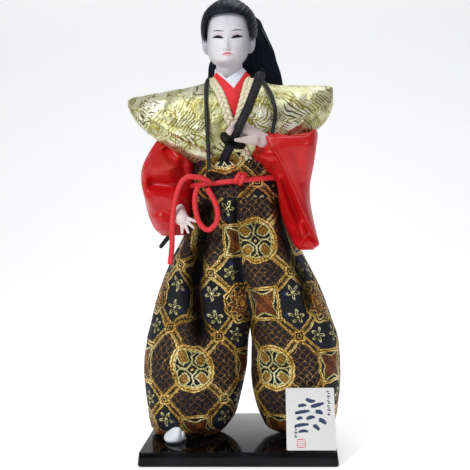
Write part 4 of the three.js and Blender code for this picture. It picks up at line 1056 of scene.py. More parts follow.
# Wide trousers: two gathered legs that meet above the crotch, with a plain band at the waist
mainFold = [(-16.6, 176), (-17.3, 166.5), (-19.7, 148.5), (-24.7, 126.6), (-27.3, 111.8), (-26.1, 95.6),
            (-23.9, 79.3), (-22.8, 68)]
leftFold = [(25.6, 176), (27.6, 162.2), (31, 142.9), (35.8, 128.8), (41.4, 117.1), (45.5, 101), (47, 88)]
trousers = {
    "power": 2.2, "rise": 82.5, "patternFoot": 57.2, "bandPeriod": 84, "bandEdge": 167, "bandProud": 0.9,
    "waist": (196.2, 0.19), "overSword": 3.6, "gathers": 7, "atHem": 0.045, "atWaist": 0.06, "fadeHem": 26,
    "fadeWaist": 48, "hemPleats": (23, 0.016, 15), "softFolds": (14, 0.014), "smallFolds": (7, 0.01),
    "foldHalf": 4.5,
    # heights over 0 are ridges, under 0 hollows: [height, width, line]
    "creases": [
        (-20, 4.2, mainFold), (-12, 2.7, leftFold),
        (-5, 1.8, [(1.6, 176), (1.2, 158.3), (0.8, 140.3), (0.9, 129.4), (2.8, 114.5), (6.4, 101.6)]),
        (-2.2, 2.4, [(-7.6, 172), (-9.6, 156), (-12.8, 142), (-14.8, 130)]),
        (-1.6, 3, [(-15.4, 128), (-12.1, 111.6), (-6.6, 98.5), (-1, 86)]),
        (-2, 2.6, [(15, 172), (20, 158), (26, 146)]), (2, 2.6, [(-33, 128), (-36, 110), (-35, 92)]),
        (-1.5, 3.4, [(-48, 112), (-52, 92), (-51, 70)]), (-1.5, 3.4, [(56, 92), (55, 74), (50, 56)]),
        (-1.2, 4, [(-14, 52), (-18, 36), (-30, 24)]), (-1.2, 4, [(24, 44), (38, 50), (52, 46)]),
    ],
}
rightLeg = {
    # the fold swallows some of the cloth: heights and millimetres; anchors: height, x, share of the repeat there
    "fold": mainFold, "takeUp": [[60, 0], [78, 7], [98, 15], [120, 19], [140, 22], [165, 22]],
    "anchors": [[20, -10, 0.25], [57, -10, 0.25], [78, -12.4, 0.25], [98, -15.3, 0.25], [120, -14.4, 0.275],
                [143, -13, 0.31], [167, -11, 0.33]],
    "lift": 6.6, "phase": 4.2, "seed": 3,
    "rows": [
        [9.3, -53, -19, -17, 15], [11.2, -59, -14, -21, 18], [15, -61.2, -9, -24, 21], [21, -62.6, -4.6, -26.5, 24],
        [30, -64, -1.5, -28, 26.5], [41, -64.9, 1.3, -29, 28], [53, -65.3, 4.3, -29.4, 28.5],
        [73, -62.9, 6.1, -29, 28.5], [87, -59.6, 8.6, -28.8, 28], [107, -53.4, 14, -28.5, 27],
        [128, -44.2, 20, -28, 25.5], [145, -34.6, 24, -27, 24], [169, -28.8, 27.5, -25, 22],
        [180, -27.6, 28, -23.6, 21], [190, -27.6, 27, -24.6, 21], [201, -28, 27, -26, 21],
    ],
}
leftLeg = {
    "fold": leftFold, "takeUp": [[88, 0], [105, 5], [140, 7], [165, 7]],
    "anchors": [[20, 25.5, 0], [57, 22.6, 0], [98, 17.4, 0], [140, 12.6, 0], [167, 10.6, 0]],
    "lift": 0, "phase": 5.62, "seed": 11,
    "rows": [
        [9.3, 31, 56, -17, 15], [11.2, 26, 60.2, -21, 18], [15, 18, 61.8, -24, 21], [21, 13.8, 63.6, -26.5, 24],
        [30, 10, 65.2, -28, 26.5], [41, 8, 66.8, -29, 28], [53, 7.6, 67.4, -29.4, 28.5], [73, 8, 66.2, -29, 28.5],
        [87, 6, 61.8, -28.8, 28], [107, 0, 54.6, -28.5, 27], [128, -9, 44, -28, 25.5], [145, -16, 37, -27, 24],
        [169, -25.5, 30.6, -25, 22], [180, -26.5, 29.4, -23.6, 21], [190, -26, 29, -24.6, 21],
        [201, -26, 29, -26, 21],
    ],
}


def legMesh(leg, across=240, along=204):
    at, anchorAt, takeUpAt = (smoothRows(leg[name]) for name in ("rows", "anchors", "takeUp"))
    low, high = leg["rows"][0][0], leg["rows"][-1][0]
    seed = leg["seed"]
    pleats, pleatDeep, pleatFade = trousers["hemPleats"]
    (softSize, softDeep), (smallSize, smallDeep) = trousers["softFolds"], trousers["smallFolds"]
    rings, measures = [], []
    for j in range(along + 1):
        share = j / along
        z = low + (high - low) * (share ** 1.25 if share < 1 else 1)
        below = trousers["bandEdge"] - z
        gather = trousers["atHem"] * bell(z - low, trousers["fadeHem"])
        if below > 0:
            gather += trousers["atWaist"] * bell(below, trousers["fadeWaist"]) * ease(below, 0, 5)
        ring, plain = [], []
        for i in range(across):
            angle = (math.pi / 2 + turn * i / across) % turn
            swell = 1 + gather * math.cos(trousers["gathers"] * angle + leg["phase"])
            swell += pleatDeep * bell(z - low, pleatFade) * math.cos(pleats * angle + seed)
            swell += (softDeep * ripple(angle * 26, z * 0.5, seed * 10, softSize)
                      + smallDeep * abs(ripple(angle * 30, z, seed * 20, smallSize))) * ease(below, 0, 8)
            spot = levelPoint(at(z), z, angle, trousers["power"], swell)
            plain.append(spot.copy())
            facing = max(0, -math.sin(angle)) ** 0.5
            if facing:
                spot.y -= creased(spot.x, z, trousers["creases"]) * facing * ease(below, -1, 4)
                if leg["lift"]:
                    # the waistband covers the scabbard
                    over = ease(z, 181, 188) * (1 - ease(z, 190.6, 191.8)) * (1 - ease(abs(spot.x + 6.5), 5, 9))
                    spot.y -= trousers["overSword"] * over
            proud = trousers["bandProud"] * ease(-below, -0.6, 0.6)
            spot.x += proud * math.cos(angle)
            spot.y += proud * math.sin(angle)
            ring.append(spot)
        rings.append(ring)
        # the pattern is measured along the cloth, with what the fold hides
        middle, half = lineAt(leg["fold"], z), trousers["foldHalf"]
        taken = [takeUpAt(z)[0] * ease(spot.x, middle - half, middle + half) if across / 4 < i < across * 3 / 4 else 0
                 for i, spot in enumerate(plain)]
        lengths = [0.0]
        for i in range(across):
            following = (i + 1) % across
            extra = max(taken[following] - taken[i], 0) if following else 0
            lengths.append(lengths[-1] + (plain[following] - plain[i]).length + extra)
        place, known = anchorAt(z)
        start = next((lengths[i] for i in range(across // 4, across * 3 // 4) if plain[i].x >= place), 0)
        measures.append([(length - start) / pattern["period"] + known for length in lengths])

    def uvAt(i, j, row):
        spot = rings[j][i % across]
        if rings[row][0].z > trousers["bandEdge"] - 0.5:
            return (spot.x + 5.7) / trousers["bandPeriod"], (spot.z - 198.3) / trousers["bandPeriod"]
        # rows of the repeat start at the height of the lowest medallions
        lift = leg["lift"] * (1 - ease(spot.x, -40, -27)) * ease(spot.z, 52, 80)
        return measures[j][i], (spot.z - lift - trousers["patternFoot"]) / trousers["rise"]

    bm = gridMesh(across, along, lambda i, j: rings[j][i % across], uvAt)
    level, slope = trousers["waist"]
    tilt = Vector((-slope, 0, 1)).normalized()
    everything = bm.verts[:] + bm.edges[:] + bm.faces[:]
    bmesh.ops.bisect_plane(bm, geom=everything, plane_co=(0, 0, level), plane_no=tilt, clear_outer=True)
    bmesh.ops.holes_fill(bm, edges=[edge for edge in bm.edges if edge.is_boundary], sides=0)
    return bm


# painted shadow of each deep fold of the front: its line, width, darkness and two ends
foldShadows = [(mainFold, 5, 0.94, 64, 164), (leftFold, 3.4, 0.8, 86, 176),
               ([(11.5, 94), (9, 112), (4, 132)], 2.6, 0.75, 86, 132)]


def foldShade(x, y, z):
    # how light the painted shade of the deep folds leaves the cloth
    dark = 0
    if y < -4:
        for line, wide, deep, low, high in foldShadows:
            fade = ease(z, low, low + 16) * (1 - ease(z, high - 14, high))
            dark = max(dark, deep * bell(x - lineAt(line, z), wide) * fade)
    return 1 - dark, 1 - dark, 1 - dark, 1


hakama = addPiece("wideTrousers", joinMeshes([legMesh(rightLeg), legMesh(leftLeg)]), goldBrocade, ["hakama"],
                  "trouser_brocade", sharp=60, paint=foldShade)
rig.padded(hakama, fill=0.8)
print("trousers made")


# Winged vest: a stiffened lens of cloth across the shoulders, turned under along its lower edge
vest = {"power": 1.9, "below": 2.9, "across": 150, "along": 230, "crumple": (11, 1.3), "smallCrumple": (5, 0.55),
        "ridge": 1.5, "hollow": 1.6}
vestStations = [
    [-72, 236.4, 230, -3.4, 4.6], [-70, 237.2, 226, -7.6, 7.6], [-64, 238.2, 217.4, -13.6, 11],
    [-53, 239.9, 208, -20, 14.6], [-40, 241.6, 198.6, -25, 17.6], [-28, 243.6, 191, -27.8, 20],
    [-15, 246.4, 187.6, -29.6, 21.4], [1, 247.6, 187, -30.6, 22], [16, 245.6, 187.6, -29.6, 21.4],
    [28, 243, 190.6, -27.6, 20], [40, 242.2, 200, -23.6, 17.6], [53, 241.7, 210.4, -18, 14],
    [61, 241.3, 217.6, -12, 10.4], [64.8, 240.8, 224.6, -6.6, 7], [66, 240.2, 228, -3, 4],
]
vestAt = smoothRows(vestStations)
hemCrease = {"left": [(-66, 229), (-52, 219), (-41, 211), (-26, 203), (-14, 197)],
             "right": [(12, 197), (28, 203), (44, 214), (56, 224), (63, 233)]}


def vestFront(x, z):
    # depth of the vest's front at a place in the front view
    top, low, front, _ = vestAt(x)
    share = min(abs(z - (top + low) / 2) / ((top - low) / 2), 0.995)
    power = vest["power"] if z > (top + low) / 2 else vest["below"]
    return front * (1 - share ** power) ** (1 / power)


def vestMesh():
    across, along = vest["across"], vest["along"]
    (size, deep), (smallSize, smallDeep) = vest["crumple"], vest["smallCrumple"]
    low, high = vestStations[0][0], vestStations[-1][0]

    def place(i, j):
        x = low + (high - low) * j / along
        top, bottom, front, back = vestAt(x)
        angle = i / across * turn
        # the front is fuller toward the hem
        full = reach(angle, vest["below"] if math.cos(angle) < 0 and math.sin(angle) < 0 else vest["power"])
        depth = (back if math.cos(angle) > 0 else -front) * full * math.cos(angle)
        z = (top + bottom) / 2 + (top - bottom) / 2 * full * math.sin(angle)
        inside = ease(min(x - low, high - x), 0, 9)
        crumple = abs(ripple(x, z, depth * 0.3, size)) * deep
        crumple += abs(ripple(x * 1.2, z, 40 + depth * 0.3, smallSize)) * smallDeep
        push = (crumple - 0.5) * inside
        if depth < 0 and abs(x) > 12:
            # a ridge along the turned-under edge, and a hollow below it
            under = z - lineAt(hemCrease["left" if x < 0 else "right"], x, 0, -0.3)
            ridge, hollow = math.exp(-abs(under - 0.6) / 1.2), bell(under + 2.4, 2.2)
            push += inside * (vest["ridge"] * ridge - vest["hollow"] * hollow)
        away = Vector((0, math.cos(angle), 0.35 * math.sin(angle)))
        return Vector((x, depth, z)) + away * push

    return gridMesh(across, along, place)


neckline = [(-13, 262), (-12.3, 247), (-5.9, 236), (1.6, 214.8), (7, 236), (9.2, 247.5), (10.2, 262)]
vestPiece = addPiece("wingedVest", vestMesh(), ivoryBrocade, ["kataginu"], "vest_brocade", sharp=60)
carve(vestPiece, frontPrism(neckline, -60, -4), sharp=60)
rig.padded(vestPiece, fill=0.6)


# depth of the chest's middle line: [height, depth]
chestAt = smoothRows([[205, -29], [216, -28.4], [225, -27.4], [232, -25.2], [238, -21.6], [244, -16.8],
                      [247, -14.6], [250, -13.3], [256, -12.9]])


def chestFront(x, z):
    # the surface the collars lie on, between the vest's two front edges
    return chestAt(z)[0] + 0.045 * (x + 2) ** 2


# Plaited trims along both edges of the neckline: three flat strands crossing over each other
plait = {"width": 5.8, "pitch": 12.4, "strand": 1.4, "thin": 0.8, "swing": 1.15, "lift": 0.9, "overlap": 0.4}


def plaitMesh(route, side):
    # side is 1 or -1: where the plait lies from its route along the neckline
    spots = smoothPath([(x + side * (plait["width"] / 2 - plait["overlap"]), 0, z) for x, z in route], 0.5)
    for spot in spots:
        spot.y = min(vestFront(spot.x, spot.z) - 1, chestFront(spot.x, spot.z) - 0.9)
    strands = []
    for k in range(3):
        path = []
        distance = 0
        for j, spot in enumerate(spots):
            if j:
                distance += (spot - spots[j - 1]).length
            along = (spots[min(j + 1, len(spots) - 1)] - spots[max(j - 1, 0)]).normalized()
            out = Vector((spot.x * 0.01, -1, 0.25)).normalized()
            out = (out - along * out.dot(along)).normalized()
            phase = turn * distance / plait["pitch"] + turn * k / 3
            sideways = along.cross(out) * (plait["width"] / 2 - plait["strand"]) * plait["swing"] * math.sin(phase)
            path.append(spot + sideways + out * plait["lift"] * math.sin(2 * phase))
        strands.append(sweepMesh(path, 14, oval(plait["strand"], plait["thin"]), up=(0, -1, 0.3)))
    return joinMeshes(strands)


rightTrim = [(-11.6, 246.6), (-9, 241.4), (-5.6, 235.6), (-2, 226.2), (1.6, 215.5), (7.6, 203), (13, 191)]
leftTrim = [(8.7, 246.4), (7.6, 241), (6.7, 236), (4.4, 226), (1.9, 216.4)]
addPiece("rightTrim", plaitMesh(rightTrim, -1), goldBraid, ["right_trim"], "braid", sharp=80)
addPiece("leftTrim", plaitMesh(leftTrim, 1), goldBraid, ["left_trim"], "braid", sharp=80)
print("vest made")


# Collars: strips of cloth that cross at the throat and stand round the back of the neck
neck = {"x": -2.4, "y": -4, "half": 8.7, "deep": 8}
redRing = {"low": 236, "atLow": (15, -21, 9), "high": 248.6, "atHigh": (11.6, -15.6, 7.6)}
whiteRing = {"low": 235, "atLow": (12, -20, 7), "high": 253.4, "atHigh": (9.9, -13.8, 5.6)}


def frontStrip(outer, inner, lift, thickness=0.7, roundness=0.3, across=22, along=70):
    # a strip of cloth between two front-view lines, lying lift millimetres over the chest
    lines = [smoothPath([(x, 0, z) for x, z in line], 0.3) for line in (outer, inner)]

    def place(i, j):
        a, b = (line[round(j / along * (len(line) - 1))] for line in lines)
        share = 2 * i / across if 2 * i <= across else 2 - 2 * i / across
        spot = a.lerp(b, share)
        behind = 0 if 2 * i <= across else thickness
        # rounder along the folded edge, thinner at both edges
        roll = roundness * bell(share - 0.86, 0.16) - 0.5 * thickness * (1 - ease(min(share, 1 - share), 0, 0.06))
        return Vector((spot.x, chestFront(spot.x, spot.z) - lift - roll + behind, spot.z))

    return gridMesh(across, along, place)


def backBand(ring, low, high, past, thickness=0.8, across=24, along=80):
    # the part of a collar that stands behind the neck, and goes past its sides by an angle
    start, end = -past, math.pi + past

    def place(i, j):
        share = 2 * i / across if 2 * i <= across else 2 - 2 * i / across
        z = low + (high - low) * share
        half, front, back = ((a + (b - a) * (z - ring["low"]) / (ring["high"] - ring["low"])) for a, b in
                             zip(ring["atLow"], ring["atHigh"]))
        inside = 0 if 2 * i <= across else thickness
        angle = start + (end - start) * j / along
        return Vector((neck["x"] + (half - inside) * math.cos(angle),
                       (front + back) / 2 + ((back - front) / 2 - inside) * math.sin(angle), z))

    return gridMesh(across, along, place)


whiteUnder = frontStrip([(-11.6, 250.6), (-8.3, 247.6), (-3.8, 243.2), (1.2, 237.6)],
                        [(-9.4, 253), (-6.8, 248.9), (-3.4, 245.4), (2.6, 240)], 0.1)
whiteOver = frontStrip([(9, 251.4), (5.3, 245.4), (1.3, 237.4)], [(6.4, 253.6), (1.1, 249.3), (-5.6, 245)], 0.6)
whiteStrip = addPiece("whiteCollar", joinMeshes([
    whiteUnder, whiteOver, backBand(whiteRing, 243, 253.6, 0.55)]), whiteCotton, ["white_collar"],
    "white_cloth")
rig.sheet(whiteStrip, flat=(0.0105, 0.07), held="folded", rests_on=["head"])
redUnder = frontStrip([(11.8, 248.4), (8.6, 239.6), (5.6, 232), (2.6, 219)],
                      [(8.4, 251.2), (5.1, 245.2), (1.1, 238.2), (-4.2, 224)], 1.0)
redOver = frontStrip([(-12.6, 248.4), (-8.4, 239.4), (-4.7, 228), (-0.4, 215.6)],
                     [(-10.9, 250.9), (-3.6, 243.5), (1.1, 238.2), (4.4, 231.4), (5.4, 222)], 1.5)
redStrip = addPiece("redCollar", joinMeshes([
    redUnder, redOver, backBand(redRing, 240.5, 249.4, 0.6)]), redCotton, ["red_collar"], "red_cloth")
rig.sheet(redStrip, flat=(0.0105, 0.095), held="folded", rests_on=["kataginu"])
print("collars made")


# Head: gofun-finished, with a small stern face painted on
headLevels = [
    [254.6, 4.4, -18.2, -3], [255.8, 7.2, -20.2, 1], [258.6, 10.7, -21, 6], [263, 13.1, -20.9, 10],
    [268, 14.5, -20.6, 13], [274, 14.9, -20.4, 15], [280, 15.1, -20.6, 15.6], [286, 14.5, -19.8, 14.8],
    [291, 11.8, -16.8, 11.6], [295.5, 6.6, -10.8, 6], [297, 2.4, -6, 1.2],
]
head = {"low": 254.6, "height": 42.4, "power": 2.1, "across": 280, "along": 210}
face = {
    "nose": {"z": 264.2, "bridge": 6, "wide": 1.15, "out": 2.1}, "eyes": {"z": 272, "spread": 6.3},
    "lips": {"z": 260.5}, "jawShift": -0.9,
}
ears = {"left": 15.6, "right": 14.6, "y": -4, "z": 270, "tilt": 11, "size": (3.2, 3.8, 6.3)}


def faceRelief(across, z):
    # how far the face stands out of its plain oval, at a distance from its middle line
    nose = face["nose"]
    above = z - nose["z"]
    size = bell(above, nose["bridge"]) if above > 0 else bell(above, 1.3)
    out = nose["out"] * size * bell(across, nose["wide"] * (1 + 0.3 * bell(above, 1.6)))
    out += 0.45 * bell(above + 0.2, 1) * bell(abs(across) - 1.6, 0.7)  # wings of the nose
    side = abs(across) - face["eyes"]["spread"]
    arch = z - face["eyes"]["z"] - 0.4 * bell(side, 3)
    out -= 0.8 * bell(arch, 2.6) * bell(side, 4)  # eye sockets
    out += 0.4 * bell(arch, 1.2) * bell(side, 3.2)  # eyeballs
    out += 0.2 * bell(arch - 1.7, 0.45) * bell(side, 3.4)  # folds of the upper lids
    out += 0.35 * bell(z - 276.4, 1.6) * bell(side, 4.5)  # brows
    mouth = z - face["lips"]["z"] + 0.02 * across * across
    out += 0.5 * bell(mouth - 0.7, 0.7) * bell(across, 2.8) + 0.5 * bell(mouth + 0.9, 0.8) * bell(across, 2.3)
    out -= 0.3 * bell(mouth, 0.3) * bell(across, 3.4)  # line between the lips
    out -= 0.25 * bell(z - 262.2, 0.8) * bell(across, 0.7)  # groove under the nose
    out += 0.9 * bell(z - 256.8, 2.2) * bell(across, 3.6)  # chin
    return out


def strokeCover(x, z, line, wide, soft=0.18):
    # how much a painted line of [x, z, width share] corners covers a place
    best = 0
    for start, end in zip(line, line[1:]):
        away, share = nearSegment(x, z, start, end)
        half = wide / 2 * (start[2] + (end[2] - start[2]) * share)
        best = max(best, 1 - ease(away, half - soft, half + soft))
    return best


faceStrokes = [
    # colour, strength, width, corners: brows, lids, eyes, painted glints in the eyes, painted shade along the nose and
    # at the nostrils, lips, the parting's painted shadow
    ("#3c363e", 0.95, 0.7, [(-11.9, 276.5, 0.3), (-10, 276.4, 1), (-7.4, 276.1, 1), (-4.7, 275.5, 0.5)]),
    ("#3c363e", 0.95, 0.7, [(0.6, 275.6, 0.5), (3, 276.2, 1), (5.6, 276.5, 1), (7.8, 276.7, 0.3)]),
    ("#c89a9c", 0.55, 0.7, [(-12.2, 274, 0.5), (-9, 274.7, 1), (-5.4, 273.1, 0.5)]),
    ("#c89a9c", 0.55, 0.7, [(0.6, 273, 0.5), (4.4, 274.6, 1), (7.8, 273.8, 0.5)]),
    ("#020202", 1.0, 2.2, [(-12.5, 272.6, 0.1), (-11, 272.6, 0.6), (-8.8, 272.5, 1), (-6.6, 271.9, 0.8),
                           (-4.7, 271, 0.1)]),
    ("#020202", 1.0, 2.2, [(0, 270.9, 0.1), (1.8, 271.7, 0.8), (4, 272.4, 1), (6.2, 272.5, 0.6), (7.9, 272.4, 0.1)]),
    ("#5e4a4c", 0.8, 0.5, [(-10.4, 272.1, 0.6), (-9.6, 272.1, 0.8)]),
    ("#5e4a4c", 0.8, 0.5, [(1.9, 271.4, 0.6), (2.6, 271.5, 0.8)]),
    ("#a8a0ac", 0.4, 0.8, [(-0.5, 269.8, 0.2), (-0.5, 266, 0.9), (-0.2, 263.4, 0.8)]),
    ("#8d7f88", 0.6, 0.7, [(-3.6, 263.2, 0.4), (-2, 262.8, 0.8), (0.2, 263, 0.5)]),
    ("#cf3a34", 1.0, 0.95, [(-6.2, 260.1, 0.2), (-4.6, 260.8, 0.8), (-3.4, 261.2, 1), (-2.4, 260.9, 0.9),
                            (-1.4, 261.2, 1), (-0.2, 260.8, 0.8), (1.3, 260.1, 0.2)]),
    ("#e8a292", 0.75, 1.0, [(-4.8, 259.7, 0.4), (-2.5, 259.6, 1), (-0.2, 259.7, 0.4)]),
    ("#7d7a92", 0.8, 0.45, [(-1.8, 288, 1), (-1.8, 283.6, 0.3)]),
]
faceStrokes = [(Vector(srgb(code)[:3]), strength, wide, line) for code, strength, wide, line in faceStrokes]
gofunWhite, gofunShade, gofunFade = (Vector(srgb(code)[:3]) for code in ("#dedfe2", "#9d9ba6", "#74788c"))


def facePaintAndShade(x, y, z):
    across = x - neck["x"]
    colour = gofunWhite.copy()
    if z < 258:
        # painted shade under the chin: the neck is greyer
        colour = colour.lerp(gofunShade, 0.32 * (1 - ease(z, 250, 258)))
    if y < 4 and z > 250:
        # painted shade, lilac-grey: toward the sides, more on one side, under the brows and under the chin; the
        # forehead also turns bluer toward the hairline
        shade = 0.5 * ease(abs(across), 8.5, 14.5) + 0.1 * bell(z - 254.5, 3) + 0.3 * ease(across, 4, 13)
        shade += 0.25 * bell(z - 273.2, 2.2) * bell(abs(across) - 4, 2.6)
        colour = colour.lerp(gofunShade, min(shade, 0.75)).lerp(gofunFade, 0.15 * ease(z, 273, 284))
        # blue-grey shaved fade under the hairline
        edge = min(abs(z - 287.4), max(0, 16.5 - abs(across)) if z > 271 else 9)
        colour = colour.lerp(gofunFade, 0.62 * bell(edge, 2.6))
    if y < -8 and 256 < z < 290:
        for ink, strength, wide, line in faceStrokes:
            cover = strokeCover(x, z, line, wide) * strength
            if cover > 0:
                colour = colour.lerp(ink, cover)
    return (*colour, 1)


def earMesh(side, spread):
    ear = bmesh.new()
    bmesh.ops.create_uvsphere(ear, u_segments=48, v_segments=32, radius=1)
    for v in ear.verts:
        # a hollow inside the rim, on the outer and front face
        rim = math.hypot(v.co.y + 0.1, v.co.z - 0.1)
        if v.co.x * side > 0:
            v.co.x -= side * (0.5 * bell(rim, 0.5) - 0.15 * bell(rim - 0.8, 0.16))
        v.co.y *= 1 - 0.45 * ease(-v.co.z, 0, 1)
        v.co.x *= 1 - 0.3 * ease(-v.co.z, 0, 1)
    bmesh.ops.scale(ear, verts=ear.verts, vec=ears["size"])
    ear.transform(Matrix.Translation((neck["x"] + side * spread, ears["y"], ears["z"]))
                  @ Matrix.Rotation(math.radians(side * ears["tilt"]), 4, "Y"))
    return ear


def headMesh():
    at = smoothRows([[z, neck["x"] - half, neck["x"] + half, front, back] for z, half, front, back in headLevels])

    def place(i, j):
        # columns crowd on the front of the face
        share = i / head["across"]
        angle = turn * share - math.pi / 2 + 0.5 * math.sin(turn * share)
        z = head["low"] + head["height"] * j / head["along"]
        edges = at(z)
        spot = levelPoint(edges, z, -angle - math.pi, head["power"])
        facing = max(0, (neck["y"] - spot.y) / (neck["y"] - edges[2]))
        spot.y -= faceRelief(spot.x - neck["x"], z) * facing ** 2
        spot.x += face["jawShift"] * (1 - ease(z, 260, 276))
        return spot

    throatPath = [Vector((neck["x"], neck["y"] - 4 * ease(z, 246, 258), z)) for z in range(238, 260)]
    throat = sweepMesh(throatPath, 64, oval(neck["half"], neck["deep"]), up=(0, -1, 0))
    return joinMeshes([gridMesh(head["across"], head["along"], place), throat,
                       earMesh(-1, ears["left"]), earMesh(1, ears["right"])])


addPiece("paintedHead", headMesh(), paintedGofun, ["head"], "skin", sharp=70, paint=facePaintAndShade)
print("head made")


# Hair: combed back from a clean hairline to a knot low on the crown, and a long tail behind
hairLevels = [
    [270.6, 17.6, -15, 15.6], [274, 18.4, -18.4, 17.6], [280, 18.9, -21.6, 19], [286, 18.4, -22.6, 18.8],
    [291.5, 16.2, -20.8, 16.4], [296, 11.8, -16.4, 12], [299, 6.4, -10.6, 6.6], [300, 1.6, -4.4, 0.6],
]
hairCap = {"low": 270.6, "rim": 272, "inside": 273, "top": 300, "earArch": 4.4, "power": 2.1, "comb": 0.13,
           "strands": (44, 97), "across": 260, "along": 120}
hairKnot = {"centre": (-2.4, 0, 276), "axis": (0.35, 0.75, 0.56)}
hairWindow = [
    (-18.5, 268), (-18.3, 272.9), (-17.3, 279.6), (-15.4, 284.8), (-13.2, 286.8), (-8, 287.4), (-1.5, 287.6),
    (5, 287), (9.2, 286), (11, 282.6), (12.2, 277.6), (13, 271.8), (13.2, 268),
]
combedHair = hairMaterial("combedRayonHair", hairKnot["centre"], hairKnot["axis"])
hangingHair = hairMaterial("hangingRayonHair", (5, 22, 240), (0, 0, 1))


def hairMesh():
    at = smoothRows([[z, neck["x"] - half, neck["x"] + half, front, back] for z, half, front, back in hairLevels])
    centre = Vector(hairKnot["centre"])
    axis = Vector(hairKnot["axis"]).normalized()
    side = axis.orthogonal().normalized()
    other = axis.cross(side)
    coarse, fine = hairCap["strands"]

    def place(i, j):
        if j == 0:
            return Vector((neck["x"], 0, hairCap["inside"]))
        share = (j - 1) / hairCap["along"]
        angle = i / hairCap["across"] * turn
        rim = levelPoint(at(hairCap["rim"]), hairCap["rim"], angle, hairCap["power"])
        # the lower edge arches over each ear
        low = hairCap["low"] + hairCap["earArch"] * bell(rim.y + 1, 6.5)
        z = low + (hairCap["top"] - low) * math.sin(share * math.pi / 2)
        spot = levelPoint(at(z), z, angle, hairCap["power"])
        away = spot - centre
        bearing = math.atan2(away.dot(other), away.dot(side))
        comb = math.sin(bearing * coarse + 3 * noise.noise(away / 9)) + 0.7 * math.sin(bearing * fine)
        return spot + away.normalized() * hairCap["comb"] * comb * ease(share, 0, 0.12)

    return gridMesh(hairCap["across"], hairCap["along"] + 1, place)


hairPiece = addPiece("combedHair", hairMesh(), combedHair, ["hair"], "hair_fibre", sharp=60)
carve(hairPiece, frontPrism(hairWindow, -60, -7), sharp=60)

hairTail = {"low": 197, "height": 96, "power": 2.3, "strand": 0.012, "lock": 0.03, "loose": 0.025, "uneven": 2.2,
            "strands": (38, 83), "across": 260, "along": 200}
tailLevels = [
    [197, -15, 29, 22.4, 27.6], [212, -17.5, 30.6, 23, 30], [228, -19, 32, 23.4, 31], [246, -19.8, 32.4, 23, 31],
    [256, -19.4, 30.6, 21.8, 30], [264, -18, 28, 20.6, 29], [271, -13, 26.4, 19.8, 28], [279, -4, 23.2, 18.8, 26],
    [286, 2.6, 20, 13.6, 23], [290, 6, 18, 10, 20], [293, 8.6, 14.4, 10.4, 16],
]


def hairTailMesh():
    at = smoothRows(tailLevels)
    coarse, fine = hairTail["strands"]

    def place(i, j):
        z = hairTail["low"] + hairTail["height"] * j / hairTail["along"]
        angle = i / hairTail["across"] * turn
        strand = math.sin(angle * coarse + 2 * ripple(angle * 9, z, 0, 22)) + 0.6 * math.sin(angle * fine)
        lock = ripple(angle * 14, z * 0.12, 7, 5)
        loose = abs(ripple(angle * 40, z * 0.25, 3, 6))
        swell = 1 + hairTail["strand"] * strand + hairTail["lock"] * lock + hairTail["loose"] * loose
        spot = levelPoint(at(z), z, angle, hairTail["power"], swell)
        # the ends are cut a little unevenly
        spot.z += hairTail["uneven"] * lock * bell(z - hairTail["low"], 8)
        return spot

    return gridMesh(hairTail["across"], hairTail["along"], place)


addPiece("hairTail", hairTailMesh(), hangingHair, ["hair_tail"], "hair_fibre", sharp=60)
print("hair made")


# Sleeves: wide bags of satin with open ends and crisp folds
rightSleeveLevels = [
    [143.6, -51.6, -34.6, -12, 9], [147.5, -55, -32, -16, 11.4], [154, -58, -30.4, -20.4, 13],
    [162, -60.4, -29.4, -23.4, 14], [172, -62.6, -28.6, -25.4, 14.4], [181, -63.2, -28.4, -26, 14.2],
    [190, -61.8, -28, -23.6, 13.6], [199, -58.4, -28.6, -14.6, 12.4], [207, -54, -31, -8, 11],
    [214, -49, -34, -3, 9], [220, -45, -37, 0, 7],
]
leftSleeveLevels = [
    [132.8, 40.6, 51, -20.4, -11], [135.6, 38.4, 54.2, -22.6, -8.6], [141, 36, 53.6, -24, -6],
    [149, 32.6, 51.6, -26, -3], [157, 29.8, 50, -28, 0], [166, 28.4, 48.8, -30, 3], [176, 27.6, 49, -31.6, 5],
    [181, 25.4, 50, -33, 5.6], [184, 21.5, 50.6, -34.6, 6], [188, 16.5, 51.6, -37.4, 6.6], [192, 12, 52.4, -39.4, 7],
    [196, 10.4, 53.4, -40.6, 7.2], [200, 11.2, 54.2, -41, 7.4], [204.6, 14.2, 54.8, -39.8, 7],
    [207.8, 17.4, 54.8, -38.8, 6], [209.8, 19.4, 54.4, -37.4, 5],
]
# drawn folds, as the trousers': [height, width, line]
rightCreases = [
    (5, 2.8, [(-61, 180), (-58.4, 184.5), (-53.1, 187.8), (-47.8, 187.3), (-41.3, 185.9), (-36.7, 188.3),
              (-35.9, 193)]),
    (-7.5, 4.4, [(-58, 178.5), (-50.4, 178), (-41.8, 177), (-33, 178)]),
    (-5, 3, [(-47, 203), (-43, 196), (-38, 192)]),
    (3, 3, [(-59, 165), (-52, 169.5), (-46, 169), (-40, 166.5), (-34, 160)]),
    (-2.4, 3, [(-57, 158), (-48, 160), (-39, 156)]), (1.4, 2.2, [(-54, 151), (-46, 153.5), (-38, 149)]),
    (1.6, 2, [(-57, 198), (-54, 193), (-52, 189)]), (-6, 3.6, [(-35, 194), (-33.5, 182), (-33, 168)]),
]
leftEdge = [(17, 212), (19.2, 209), (22.8, 202), (28.3, 191.8), (33.1, 180.9), (39.1, 166.9), (45.1, 152.3),
            (52.6, 137)]
